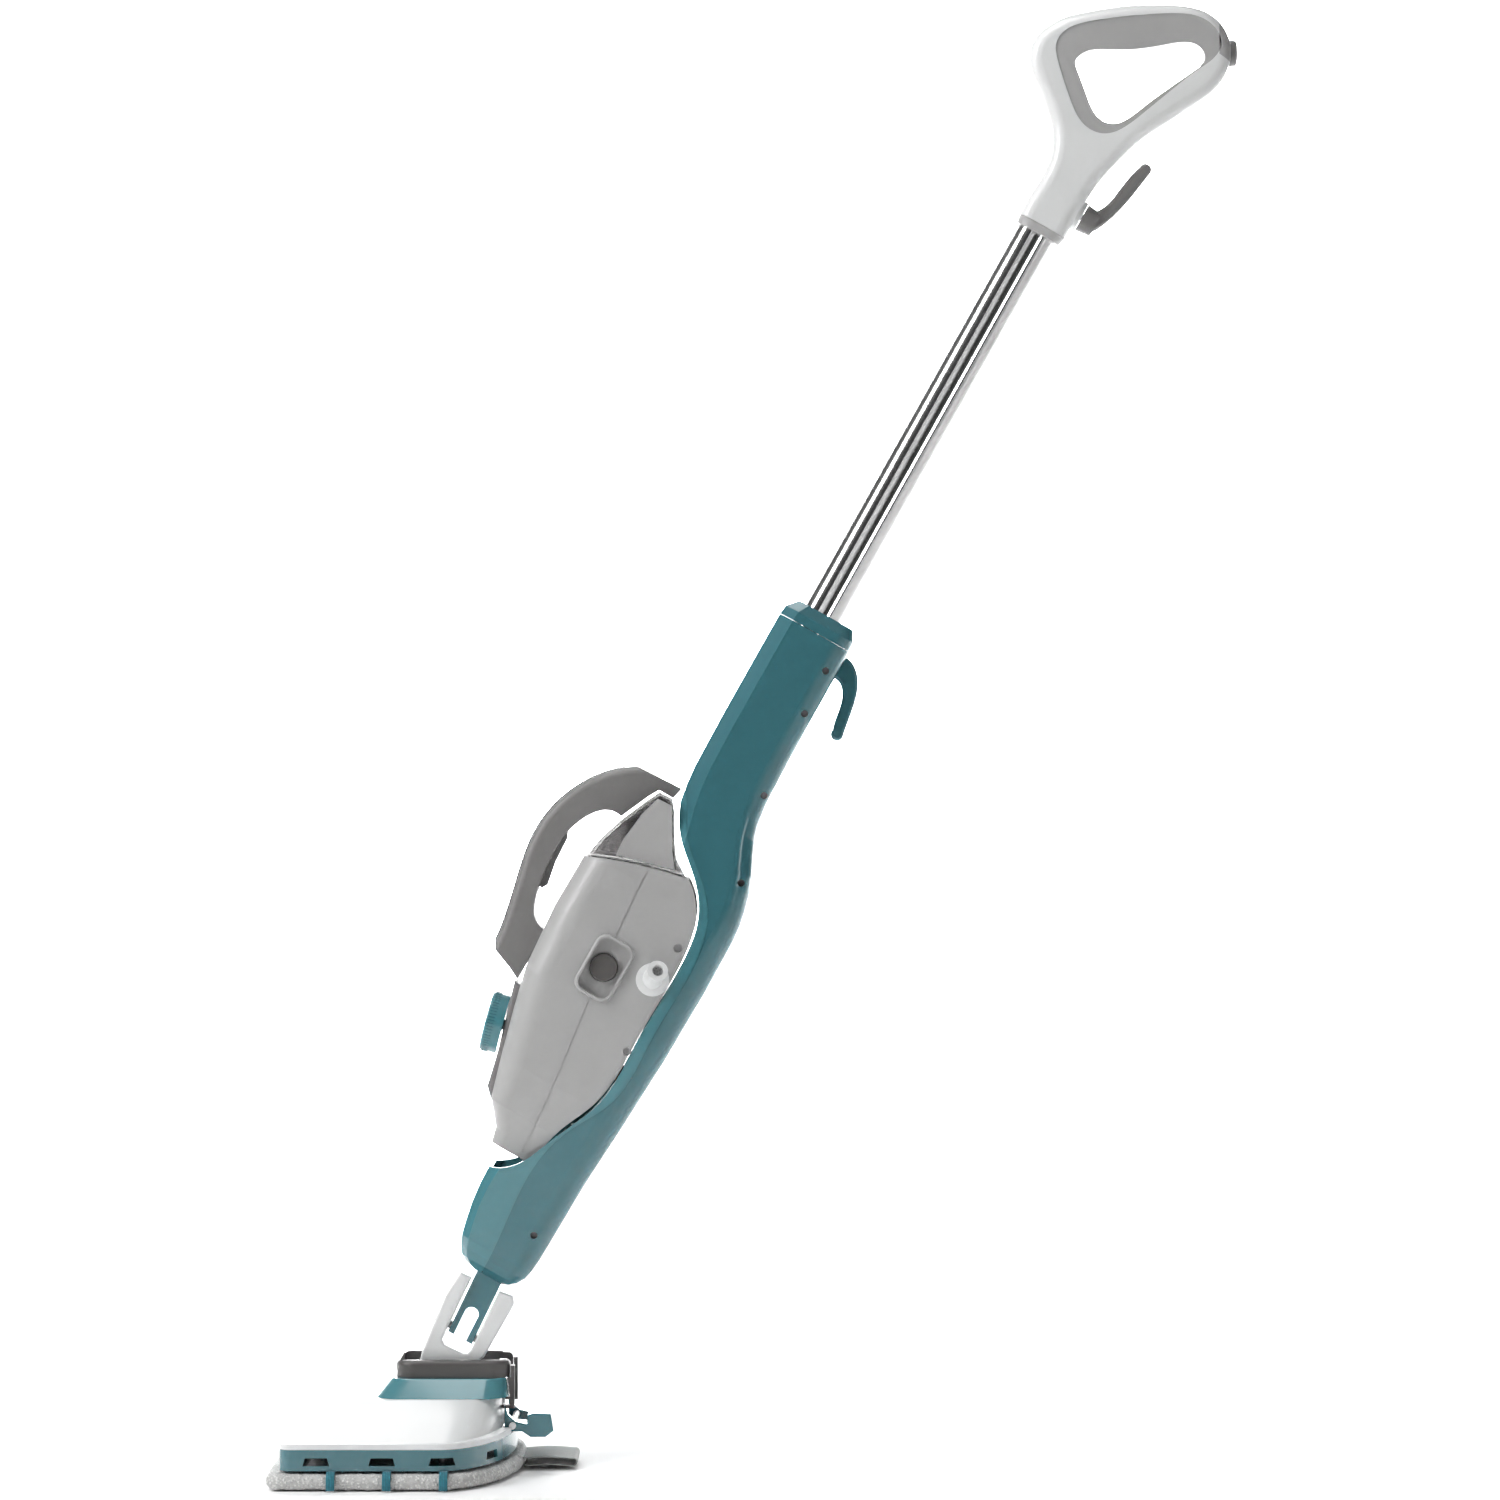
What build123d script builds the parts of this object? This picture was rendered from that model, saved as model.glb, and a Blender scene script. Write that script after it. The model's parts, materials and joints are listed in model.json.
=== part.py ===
"""Upright steam mop with a lift-out handheld steamer.

Frame: +Z up, -X is the front of the mop, +X the rear, -Y its left side. The origin is on the floor,
at the centre of the mop pad's bottom face. The wand leans back by LEAN, as the mop stands in use.
"""
from build123d import *
from math import cos, radians, sin
import os

os.makedirs("parts", exist_ok=True)

# ---- driving dimensions, millimetres and degrees ----
LEAN = 29.3                      # wand's lean back from upright
PIVOT_X = 22.0                   # head pivot, from the pad's centre
PIVOT_Z = 65.0                   # head pivot above the floor
WALL = 2.4                       # moulded shells

PAD_T = 13.0
PAD_FRONT = -92.0                # pad outline: straight sides, elliptical rear
PAD_REAR = 92.0
PAD_HALF = 125.0
PAD_BEND_X = 32.0                # where the straight sides turn into the rear curve
RIM_INSET = 8.0                  # head base, inside the pad's outline
RIM_Z0 = PAD_T + 1.0
RIM_Z1 = RIM_Z0 + 15.0
COVER_TOP = PIVOT_Z - 10.0
DOME_TOP = PIVOT_Z + 3.5
COLLAR_TOP = DOME_TOP + 12.5

SWING_S = 40.0                   # side-swing axis, above the head pivot along the wand
NECK_HALF = 16.0                 # neck's half width
PIN_R = 4.0
PIVOT_PIN_HALF = 24.0

TUBE_T = -24.7                   # wand tube's centre line, from the pivot line
TUBE_DEPTH = 30.0
TUBE_WIDTH = 23.0
TUBE_S0 = 545.0
TUBE_S1 = 985.0

DIAL_R = 22.5
DIAL_T = 12.0
BUTTON_R = 10.3
BUTTON_AT = (-38.5, 328.0)
NOZZLE_AT = (-3.0, 338.0)
RIB_LEVELS = (560.0, 300.0, 130.0)
SPIGOT_S = 262.0
SPIGOT_R = 5.0
HOOK_S = 983.0

# ---- planes ----
TILT = radians(LEAN)
ACROSS_DIR = Vector(cos(TILT), 0, -sin(TILT))        # square to the wand, towards the rear
ALONG_DIR = Vector(sin(TILT), 0, cos(TILT))          # up the wand
PIVOT = Vector(PIVOT_X, 0, PIVOT_Z)
SIDE = Plane(origin=PIVOT, x_dir=ACROSS_DIR, z_dir=(0, -1, 0))
HEAD_SIDE = Plane(origin=PIVOT, x_dir=(1, 0, 0), z_dir=(0, -1, 0))


def at(t, s, y=0.0):
    """Row-frame point of wand coordinates: t to the rear, s up the wand, y to the right side."""
    return PIVOT + ACROSS_DIR * t + ALONG_DIR * s + Vector(0, y, 0)


def across(s, t=0.0, y=0.0):
    """Plane square to the wand; its x runs to the rear and its y to the right side."""
    return Plane(origin=at(t, s, y), x_dir=ACROSS_DIR, z_dir=ALONG_DIR)


def facing(t, s, y, dt, ds, dy=0.0):
    """Plane at a wand point whose normal is a direction in wand coordinates."""
    normal = ACROSS_DIR * dt + ALONG_DIR * ds + Vector(0, dy, 0)
    side = Vector(0, 1, 0) if abs(dy) < 0.5 else ALONG_DIR
    return Plane(origin=at(t, s, y), x_dir=side.cross(normal), z_dir=normal)


def save(builder, name):
    """Label a finished piece and write its STEP."""
    builder.part.label = name
    export_step(builder.part, f"parts/{name}.step")


# ---- shared shape helpers ----
def station(s, front, rear, half, r_front, r_rear, bevel=False):
    """One cross-section of a moulding, rounded behind and rounded or bevelled in front."""
    with BuildSketch(across(s)) as cut:
        with BuildLine():
            Polyline((front, -half), (rear, -half), (rear, half), (front, half), close=True)
        make_face()
        if bevel:
            chamfer(cut.vertices().group_by(Axis.X)[0], r_front)
        else:
            fillet(cut.vertices().group_by(Axis.X)[0], r_front)
        fillet(cut.vertices().group_by(Axis.X)[-1], r_rear)
    return cut.sketch.faces()[0]


def moulding(stations, shrink=0.0, bevel=False):
    """Solid ruled through cross-sections, each side and both ends drawn in by shrink."""
    low = stations[0][0] + shrink
    high = stations[-1][0] - shrink
    faces = []
    for s, front, rear, half, r_front, r_rear in stations:
        if s <= low and s > stations[0][0] or s >= high and s < stations[-1][0]:
            continue
        faces.append(station(min(max(s, low), high), front + shrink, rear - shrink, half - shrink,
                             max(r_front - shrink, 1.0), max(r_rear - shrink, 1.0), bevel))
    with BuildPart() as body:
        loft(faces, ruled=True)
    return body.part


def plate(points, half, plane=SIDE, smooth=False, edge=0.0):
    """Side-view outline extruded both ways from the mid-plane, its side edges rounded."""
    with BuildPart() as body:
        with BuildSketch(plane):
            with BuildLine():
                if smooth:
                    Spline(*points, periodic=True)
                else:
                    Polyline(*points, close=True)
            make_face()
        extrude(amount=half, both=True)
        if edge:
            fillet(body.faces().filter_by(Axis.Y).edges(), edge)
    return body.part


def region(front, rear, half=120.0):
    """Everything between two side-view curves, each listed from low to high, for splitting shells."""
    with BuildPart() as body:
        with BuildSketch(SIDE):
            with BuildLine():
                left = Spline(*front)
                right = Spline(*rear)
                Line(left @ 0, right @ 0)
                Line(left @ 1, right @ 1)
            make_face()
        extrude(amount=half, both=True)
    return body.part


def rod(start, end, radius, bore=0.0):
    """Round bar, or tube, between two row-frame points."""
    way = end - start
    with BuildPart() as body:
        with BuildSketch(Plane(origin=start, z_dir=way)):
            Circle(radius)
            if bore:
                Circle(bore, mode=Mode.SUBTRACT)
        extrude(amount=way.length)
    return body.part


# ---- main frame: two teal shells, cap, lower cord hook ----
#            s      front   rear  half  r_front r_rear
FRAME = [(86.5, -16.5, 12.5, 16.5, 4.0, 7.0),
         (88.5, -21.5, 16.0, 19.5, 4.5, 8.0),
         (92.0, -26.5, 19.8, 22.5, 5.0, 10.0),
         (98.0, -30.5, 23.5, 24.8, 5.5, 12.0),
         (105.0, -33.5, 25.2, 26.8, 6.0, 14.0),
         (116.0, -36.0, 26.3, 28.6, 6.0, 15.5),
         (130.0, -38.6, 26.8, 30.3, 6.0, 16.5),
         (145.0, -40.2, 27.2, 31.6, 6.5, 17.0),
         (180.0, -41.0, 28.0, 35.5, 9.0, 18.0),
         (230.0, -41.0, 31.3, 39.0, 11.0, 18.0),
         (290.0, -41.0, 34.6, 41.0, 12.0, 18.0),
         (350.0, -41.0, 36.0, 41.2, 12.0, 18.0),
         (390.0, -41.0, 35.6, 40.0, 12.0, 18.0),
         (403.0, -41.4, 34.5, 39.0, 12.0, 17.5),
         (415.0, -42.0, 32.3, 37.8, 12.0, 17.0),
         (427.0, -43.0, 29.0, 36.4, 12.0, 16.5),
         (438.0, -44.2, 24.6, 35.0, 12.0, 16.0),
         (449.0, -46.3, 19.2, 33.4, 11.8, 15.5),
         (462.0, -49.2, 13.4, 31.6, 11.5, 15.0),
         (475.0, -51.3, 9.6, 30.2, 11.2, 14.5),
         (490.0, -52.6, 7.4, 29.2, 11.0, 14.0),
         (530.0, -53.2, 6.3, 28.0, 11.0, 14.0),
         (575.0, -53.2, 5.9, 27.2, 11.0, 14.0),
         (617.5, -53.0, 5.5, 26.5, 11.0, 14.0)]
CRADLE_EDGE = [(-46.0, 157.0), (-22.0, 173.0), (-9.5, 200.0), (6.0, 236.0), (9.6, 300.0),
               (10.2, 365.0), (2.0, 398.0), (-14.0, 418.5), (-38.0, 441.0), (-48.5, 460.0), (-55.0, 490.0)]
SHELL_SEAM = [(-9.0, 70.0), (-9.5, 130.0), (-10.0, 186.0), (0.0, 215.0), (15.0, 244.0), (18.0, 300.0),
              (17.5, 372.0), (8.0, 401.0), (-9.0, 420.0), (-34.0, 444.0), (-44.0, 462.0), (-60.0, 478.0)]
FAR = 90.0

SEAM_HALF = 0.35                 # half width and depth of the parting line's groove
SEAM_DEPTH = 0.6

frame_outer = moulding(FRAME, bevel=True)
frame_inner = moulding(FRAME, shrink=WALL, bevel=True)
behind_cradle = region(CRADLE_EDGE, [(FAR, 157.0), (FAR, 300.0), (FAR, 490.0)])
with BuildPart() as frame_groove:
    add(region([(t - SEAM_HALF, s) for t, s in SHELL_SEAM], [(t + SEAM_HALF, s) for t, s in SHELL_SEAM]))
    add(moulding(FRAME, shrink=SEAM_DEPTH, bevel=True), mode=Mode.SUBTRACT)
behind_seam = region(SHELL_SEAM, [(FAR, 70.0), (FAR, 300.0), (FAR, 478.0)])
below_cradle = plate([(-70, 70), (FAR, 70), (FAR, 157), (-46, 157), (-70, 141)], 120)
above_seam = plate([(-70, 478), (FAR, 478), (FAR, 640), (-70, 640)], 120)

with BuildPart() as frame_space:
    add(behind_cradle)
    add(below_cradle)
    add(plate([(-70, 490), (FAR, 490), (FAR, 640), (-70, 640)], 120))


def tube_section(s, grow=0.0):
    """Oval tube section with a shallow groove down each side."""
    with BuildSketch(across(s, TUBE_T)) as oval:
        SlotOverall(TUBE_DEPTH + 2 * grow, TUBE_WIDTH + 2 * grow)
        with Locations((0, TUBE_WIDTH / 2 + 4.0 + grow), (0, -TUBE_WIDTH / 2 - 4.0 - grow)):
            Circle(6.0, mode=Mode.SUBTRACT)
        fillet(oval.vertices().filter_by(lambda v: abs(v.X) < 6.0), 1.5)
    return oval.sketch


def tube_solid(s0, s1, grow=0.0):
    """Length of the tube's solid section."""
    with BuildPart() as body:
        extrude(tube_section(s0, grow), amount=s1 - s0)
    return body.part


TONGUE_SOCKET = [(-11.2, 80.0), (10.7, 80.0), (10.7, 102.0), (-11.2, 102.0)]
TONGUE_HALF = 12.0
SCREW_SPOTS = [(-3.0, 597.0), (-1.0, 562.0), (2.5, 495.0), (19.0, 431.0), (13.0, 131.0)]


def screw_wells(spots, half, depth, radius):
    """Blind screw holes in both side walls."""
    with BuildPart() as wells:
        for t, s in spots:
            for side in (-1, 1):
                add(rod(at(t, s, side * half), at(t, s, side * (half - depth)), radius))
    return wells.part


def screw_bosses(spots, radius):
    """Posts across the frame that the case screws run into."""
    with BuildPart() as posts:
        for t, s in spots:
            add(rod(at(t, s, -60), at(t, s, 60), radius))
        add(frame_outer, mode=Mode.INTERSECT)
    return posts.part


def rib(s):
    """Cross wall inside the frame, with a hole for the steam duct."""
    with BuildPart() as body:
        add(frame_inner)
        add(across(s) * Box(200, 200, 2.4, mode=Mode.PRIVATE), mode=Mode.INTERSECT)
    return body.part


with BuildPart() as rear_space:
    add(behind_seam)
    add(above_seam)

with BuildPart() as frame_rear_shell:
    add(frame_outer)
    add(frame_inner, mode=Mode.SUBTRACT)
    for rib_s in RIB_LEVELS:
        add(rib(rib_s))
    add(screw_bosses(SCREW_SPOTS, 4.4))
    add(rear_space.part, mode=Mode.INTERSECT)
    add(plate(TONGUE_SOCKET, TONGUE_HALF + 0.5), mode=Mode.SUBTRACT)
    add(tube_solid(TUBE_S0, 640, grow=0.2), mode=Mode.SUBTRACT)
    add(rod(at(0, 96), at(0, 640), 4.4), mode=Mode.SUBTRACT)
    add(screw_wells(SCREW_SPOTS, 42.0, 26.0, 2.6), mode=Mode.SUBTRACT)
    add(frame_groove.part, mode=Mode.SUBTRACT)
save(frame_rear_shell, "frame_rear_shell")

with BuildPart() as frame_front_shell:
    add(frame_outer)
    add(frame_inner, mode=Mode.SUBTRACT)
    add(frame_space.part, mode=Mode.INTERSECT)
    add(rear_space.part, mode=Mode.SUBTRACT)
    add(plate(TONGUE_SOCKET, TONGUE_HALF + 0.5), mode=Mode.SUBTRACT)
    add(frame_groove.part, mode=Mode.SUBTRACT)
save(frame_front_shell, "frame_front_shell")

# wall of the cradle that the handheld unit rests against
CRADLE_BACK = [(-13.0, 192.0), (4.5, 236.0), (8.0, 300.0), (8.0, 365.0), (0.0, 397.0)]
with BuildPart() as cradle_wall:
    with BuildSketch(SIDE):
        with BuildLine():
            near = Spline(*[(t + 3.4, s) for t, s in CRADLE_BACK])
            far = Spline(*[(t + 6.0, s) for t, s in CRADLE_BACK])
            Line(near @ 0, far @ 0)
            Line(near @ 1, far @ 1)
        make_face()
    extrude(amount=33, both=True)
    add(rod(at(-60, SPIGOT_S), at(60, SPIGOT_S), SPIGOT_R + 3.4), mode=Mode.SUBTRACT)
    add(rod(at(0, 96), at(0, 640), 4.4), mode=Mode.SUBTRACT)
save(cradle_wall, "cradle_wall")

with BuildPart() as steam_port_seal:
    add(rod(at(9.5, SPIGOT_S), at(16.0, SPIGOT_S), SPIGOT_R + 3.2, SPIGOT_R + 0.3))
save(steam_port_seal, "steam_port_seal")

with BuildPart() as frame_top_cap:
    loft([station(617.9, -53.0, 5.5, 26.5, 11.0, 14.0, True), station(625.0, -52.0, 5.0, 26.0, 10.5, 13.5, True),
          station(633.0, -45.0, 0.5, 20.0, 8.0, 9.0, True)], ruled=True)
    add(tube_solid(610, 640, grow=0.2), mode=Mode.SUBTRACT)
save(frame_top_cap, "frame_top_cap")

with BuildPart() as lower_cord_hook:
    with BuildSketch(SIDE):
        with BuildLine():
            outer_curve = Spline((2.5, 613.5), (12.0, 612.0), (20.0, 605.0), (28.0, 585.0), (32.0, 562.0))
            inner_curve = Spline((2.5, 595.0), (10.0, 595.0), (16.0, 589.0), (20.0, 576.0), (23.0, 562.0))
            Line(outer_curve @ 0, inner_curve @ 0)
            ThreePointArc(outer_curve @ 1, (28.5, 556.0), inner_curve @ 1)
        make_face()
    extrude(amount=6.5, both=True)
    fillet(lower_cord_hook.faces().filter_by(Axis.Y).edges(), 2.5)
    add(frame_outer, mode=Mode.SUBTRACT)
save(lower_cord_hook, "lower_cord_hook")

with BuildPart() as frame_screws:
    for t, s in SCREW_SPOTS:
        for side in (-1, 1):
            add(rod(at(t, s, side * 16.1), at(t, s, side * 18.6), 2.5))
save(frame_screws, "frame_screws")

# ---- wand tube and steam duct ----
with BuildPart() as wand_tube:
    add(tube_solid(TUBE_S0, TUBE_S1))
    add(tube_solid(TUBE_S0 - 1, TUBE_S1 + 1, grow=-1.2), mode=Mode.SUBTRACT)
save(wand_tube, "wand_tube")

with BuildPart() as steam_duct:
    with BuildLine() as duct_run:
        FilletPolyline(at(16.1, SPIGOT_S), at(25.5, SPIGOT_S), at(25.5, 236), at(12, 190), at(0, 150),
                       at(0, 92), radius=[6, 9, 14, 14])
    with BuildSketch(Plane(origin=duct_run.line @ 0, z_dir=duct_run.line % 0)):
        Circle(3.2)
        Circle(2.2, mode=Mode.SUBTRACT)
    sweep()
save(steam_duct, "steam_duct")

# ---- D-shaped hand grip ----
GRIP_OUTLINE = [(-42.6, 961.8), (-42.5, 985.5), (-42.7, 1003.3), (-46.0, 1015.5), (-52.0, 1027.0),
                (-61.4, 1036.6), (-73.3, 1046.2), (-85.8, 1056.5), (-92.5, 1063.8), (-96.0, 1073.0),
                (-96.0, 1083.0), (-92.0, 1094.0), (-85.5, 1104.0), (-72.3, 1116.5), (-54.2, 1130.8),
                (-32.7, 1144.5), (-14.1, 1154.0), (-1.0, 1158.3), (9.4, 1158.8), (20.4, 1155.6),
                (30.0, 1148.5), (37.0, 1136.5), (39.2, 1123.0), (37.1, 1109.8), (29.1, 1092.3),
                (18.1, 1071.5), (7.4, 1050.0), (1.1, 1029.5), (-3.0, 1012.0), (-4.6, 997.0),
                (-5.2, 980.0), (-5.2, 961.8)]
GRIP_HOLE = [(-62.5, 1081.5), (-57.5, 1090.5), (-41.7, 1100.2), (-26.1, 1109.7), (-13.6, 1119.3), (-1.0, 1129.4),
             (7.5, 1133.0), (15.0, 1132.0), (20.2, 1126.5), (18.0, 1117.0), (9.3, 1098.7), (-0.3, 1078.2),
             (-7.6, 1061.5), (-13.8, 1053.5), (-22.0, 1050.4), (-31.4, 1052.5), (-39.3, 1058.0), (-48.9, 1066.3),
             (-58.5, 1074.4)]
LINER_OUTLINE = [(-81.5, 1085.4), (-80.6, 1093.7), (-76.0, 1101.5), (-67.0, 1110.2), (-50.2, 1123.2),
                 (-29.0, 1137.5), (-10.6, 1148.2), (0.0, 1152.0), (10.0, 1152.3), (19.0, 1149.2), (25.0, 1143.5),
                 (26.2, 1134.5), (19.5, 1117.6), (10.5, 1096.5), (1.8, 1074.5), (-6.6, 1055.0), (-12.6, 1046.6),
                 (-20.0, 1041.8), (-30.2, 1040.6), (-41.2, 1044.4), (-51.4, 1052.0), (-62.6, 1062.0),
                 (-74.5, 1073.6)]
GRIP_HALF = 17.0
LINER_HALF = 16.4
CAP_FACE = 5.0


def grip_blank():
    """Outer form of the grip without its finger opening."""
    with BuildPart() as body:
        with BuildSketch(SIDE):
            with BuildLine():
                rim = Spline(*GRIP_OUTLINE)
                Line(rim @ 0, rim @ 1)
            make_face()
        extrude(amount=GRIP_HALF, both=True)
        fillet(body.faces().filter_by(Axis.Y).edges().sort_by(SortBy.LENGTH)[-2:], 9.0)
    return body.part


grip_form = grip_blank()
finger_hole = plate(GRIP_HOLE, 60, smooth=True)
liner_pocket = plate(LINER_OUTLINE, 60, smooth=True)
END_CUT = [(27.5, 1135.5), (60.0, 1134.0), (60.0, 1175.0), (12.0, 1175.0), (17.5, 1153.5)]
trim_band = plate([(-99, 1062), (-91.5, 1065), (-92.5, 1083), (-83, 1103.5), (-51, 1129.5), (-13, 1152.2),
                   (4, 1156.4), (4, 1170), (-110, 1170)], 8.0)
with BuildPart() as hook_boss:
    with BuildSketch(facing(-12.0, HOOK_S, 0, 1, 0)):
        Circle(13.0)
    extrude(amount=10.0, taper=10)

HANDLE_BUTTON_R = 9.6
button_axis = facing(28.5, 1138.9, 0, 0.86, 0.5)
with BuildPart() as button_well:
    with BuildSketch(button_axis.offset(CAP_FACE)):
        Circle(HANDLE_BUTTON_R + 0.3)
    extrude(amount=30)
    with BuildSketch(button_axis.offset(-1.0)):
        Circle(4.3)
    extrude(amount=30)

with BuildPart() as grip_core:
    add(grip_form)
    add(button_well.part, mode=Mode.SUBTRACT)
    add(hook_boss.part)
    add(liner_pocket, mode=Mode.SUBTRACT)
    add(plate(END_CUT, 60), mode=Mode.SUBTRACT)
    add(trim_band, mode=Mode.SUBTRACT)
    add(tube_solid(950, TUBE_S1 + 0.3, grow=0.2), mode=Mode.SUBTRACT)
    add(rod(at(-12, HOOK_S), at(0, HOOK_S), 2.6), mode=Mode.SUBTRACT)
grip_left = Plane.XZ * Box(3000, 3000, 300, align=(Align.CENTER, Align.CENTER, Align.MIN))

with BuildPart() as handle_shell_left:
    add(grip_core.part)
    add(grip_left, mode=Mode.INTERSECT)
save(handle_shell_left, "handle_shell_left")

with BuildPart() as handle_shell_right:
    add(grip_core.part)
    add(grip_left, mode=Mode.SUBTRACT)
save(handle_shell_right, "handle_shell_right")

with BuildPart() as handle_grip_liner:
    add(plate(LINER_OUTLINE, LINER_HALF, smooth=True))
    add(finger_hole, mode=Mode.SUBTRACT)
    add(plate(END_CUT, 60), mode=Mode.SUBTRACT)
save(handle_grip_liner, "handle_grip_liner")

with BuildPart() as handle_top_trim:
    add(grip_form)
    add(trim_band, mode=Mode.INTERSECT)
    add(liner_pocket, mode=Mode.SUBTRACT)
save(handle_top_trim, "handle_top_trim")

with BuildPart() as handle_end_cap:
    add(grip_form)
    add(plate(END_CUT, 60), mode=Mode.INTERSECT)
    add(liner_pocket, mode=Mode.SUBTRACT)
    add(button_well.part, mode=Mode.SUBTRACT)
save(handle_end_cap, "handle_end_cap")

with BuildPart() as handle_button:
    with BuildSketch(button_axis.offset(CAP_FACE + 1.7)):
        Circle(HANDLE_BUTTON_R)
    extrude(amount=5.0)
    fillet(handle_button.edges().sort_by(Axis(at(0, 0), button_axis.z_dir))[-1], 2.0)
    with BuildSketch(button_axis.offset(1.2)):
        Circle(4.0)
    extrude(amount=CAP_FACE + 1.5)
save(handle_button, "handle_button")

with BuildPart() as handle_socket_collar:
    loft([station(955.5, -41.8, -7.0, 15.4, 12.0, 12.0), station(961.6, -42.6, -5.2, 17.0, 12.0, 12.0)])
    add(tube_solid(940, 990, grow=0.05), mode=Mode.SUBTRACT)
save(handle_socket_collar, "handle_socket_collar")

with BuildPart() as hook_pivot_screw:
    add(rod(at(-9.2, HOOK_S), at(11, HOOK_S), 2.4))
    add(rod(at(10.2, HOOK_S), at(12.4, HOOK_S), 4.0))
save(hook_pivot_screw, "hook_pivot_screw")

with BuildPart() as hook_arm:
    with BuildSketch(SIDE):
        with BuildLine():
            back_curve = Spline((7.6, 973.0), (11.4, 979.2), (16.0, 988.3), (19.6, 999.3), (22.5, 1011.5),
                                (24.7, 1024.9), (26.4, 1036.0))
            front_curve = Spline((5.6, 992.0), (9.8, 999.5), (12.3, 1012.3), (14.5, 1025.7), (17.5, 1036.0))
            Line(back_curve @ 0, front_curve @ 0)
            ThreePointArc(back_curve @ 1, (22.6, 1040.6), front_curve @ 1)
        make_face()
    extrude(amount=6.5, both=True)
    fillet(hook_arm.faces().filter_by(Axis.Y).edges(), 2.4)

with BuildPart() as cord_hook:
    with BuildSketch(facing(-1.7, HOOK_S, 0, 1, 0)):
        Circle(10.6)
    extrude(amount=11.6, taper=6)
    add(hook_arm.part)
    add(rod(at(-5, HOOK_S), at(30, HOOK_S), 2.7), mode=Mode.SUBTRACT)
    add(rod(at(9.8, HOOK_S), at(30, HOOK_S), 4.3), mode=Mode.SUBTRACT)
save(cord_hook, "cord_hook")


# ---- handheld steamer ----
#               s      front   rear   half  r_front r_rear
HANDHELD = [(175.0, -48.0, -14.0, 26.0, 8.0, 4.0),
            (186.0, -50.5, -6.0, 29.0, 10.0, 5.0),
            (203.0, -64.0, 0.0, 34.0, 14.0, 6.0),
            (235.0, -73.0, 9.0, 38.0, 18.0, 6.0),
            (270.0, -82.0, 12.0, 40.5, 20.0, 6.0),
            (300.0, -89.0, 12.0, 42.0, 21.0, 6.0),
            (350.0, -92.5, 12.0, 42.0, 21.0, 6.0),
            (395.0, -91.5, 12.0, 39.5, 20.0, 6.0),
            (425.0, -84.0, 12.0, 36.0, 18.0, 6.0)]
HANDHELD_REAR = [(-21.5, 172.0), (-13.0, 190.0), (-9.0, 205.0), (4.0, 236.0), (8.8, 300.0),
                 (9.2, 362.0), (3.0, 392.0), (-15.5, 414.5)]
BODY_TOP = [(-100.0, 388.0), (-91.0, 392.0), (-62.0, 403.0), (-15.5, 414.5)]
HALF_SEAM = [(-24.0, 160.0), (-28.0, 230.0), (-36.0, 300.0), (-45.0, 420.0)]



def body_space(inset):
    """Room in front of the cradle and under the tank, drawn in by inset, cut to the body's width."""
    with BuildPart() as space:
        with BuildSketch(SIDE):
            with BuildLine():
                back_line = Spline(*[(t - inset, s) for t, s in HANDHELD_REAR])
                top_line = Spline(*[(t, s - inset) for t, s in BODY_TOP])
                if inset:
                    Line(back_line @ 1, top_line @ 1)
                Polyline(top_line @ 0, (-110, 388), (-110, 172), back_line @ 0)
            make_face()
        extrude(amount=80, both=True)
        add(moulding(HANDHELD, shrink=inset), mode=Mode.INTERSECT)
    return space.part


ahead_of_seam = region([(-150.0, 160.0), (-150.0, 300.0), (-150.0, 420.0)], HALF_SEAM)

RECESS_W = 25.5
RECESS_L = 42.0
recess_at = facing(BUTTON_AT[0] + 0.5, BUTTON_AT[1], -36.5, 0, 0, -1)
nozzle_root = facing(NOZZLE_AT[0], NOZZLE_AT[1], -30.0, 0, 0, -1)
dial_at = facing(-81.6, 253.0, 0, -0.968, -0.248)
BODY_SCREWS = [(2.0, 367.0), (6.5, 283.0)]

with BuildPart() as body_cutters:
    with BuildSketch(recess_at):
        RectangleRounded(RECESS_W + 5.0, RECESS_L + 5.0, 9.0)
    extrude(amount=20)
    with BuildSketch(nozzle_root):
        Circle(9.6)
    extrude(amount=30)
    with BuildSketch(dial_at.offset(-20)):
        Circle(6.2)
    extrude(amount=40)
    add(rod(at(-30, SPIGOT_S), at(40, SPIGOT_S), SPIGOT_R + 0.05))
    add(screw_wells(BODY_SCREWS, 46.0, 9.0, 3.2))
    add(rod(at(-50, 212, 20), at(-50, 212, 60), 7.05))

with BuildPart() as body_groove:
    add(region([(t - SEAM_HALF, s) for t, s in HALF_SEAM], [(t + SEAM_HALF, s) for t, s in HALF_SEAM]))
    add(moulding(HANDHELD, shrink=SEAM_DEPTH), mode=Mode.SUBTRACT)

with BuildPart() as handheld_case:
    add(body_space(0))
    add(body_space(WALL), mode=Mode.SUBTRACT)
    add(body_cutters.part, mode=Mode.SUBTRACT)
    add(body_groove.part, mode=Mode.SUBTRACT)

with BuildPart() as handheld_front_shell:
    add(handheld_case.part)
    add(ahead_of_seam, mode=Mode.INTERSECT)
save(handheld_front_shell, "handheld_front_shell")

with BuildPart() as handheld_rear_shell:
    add(handheld_case.part)
    add(ahead_of_seam, mode=Mode.SUBTRACT)
save(handheld_rear_shell, "handheld_rear_shell")

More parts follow.
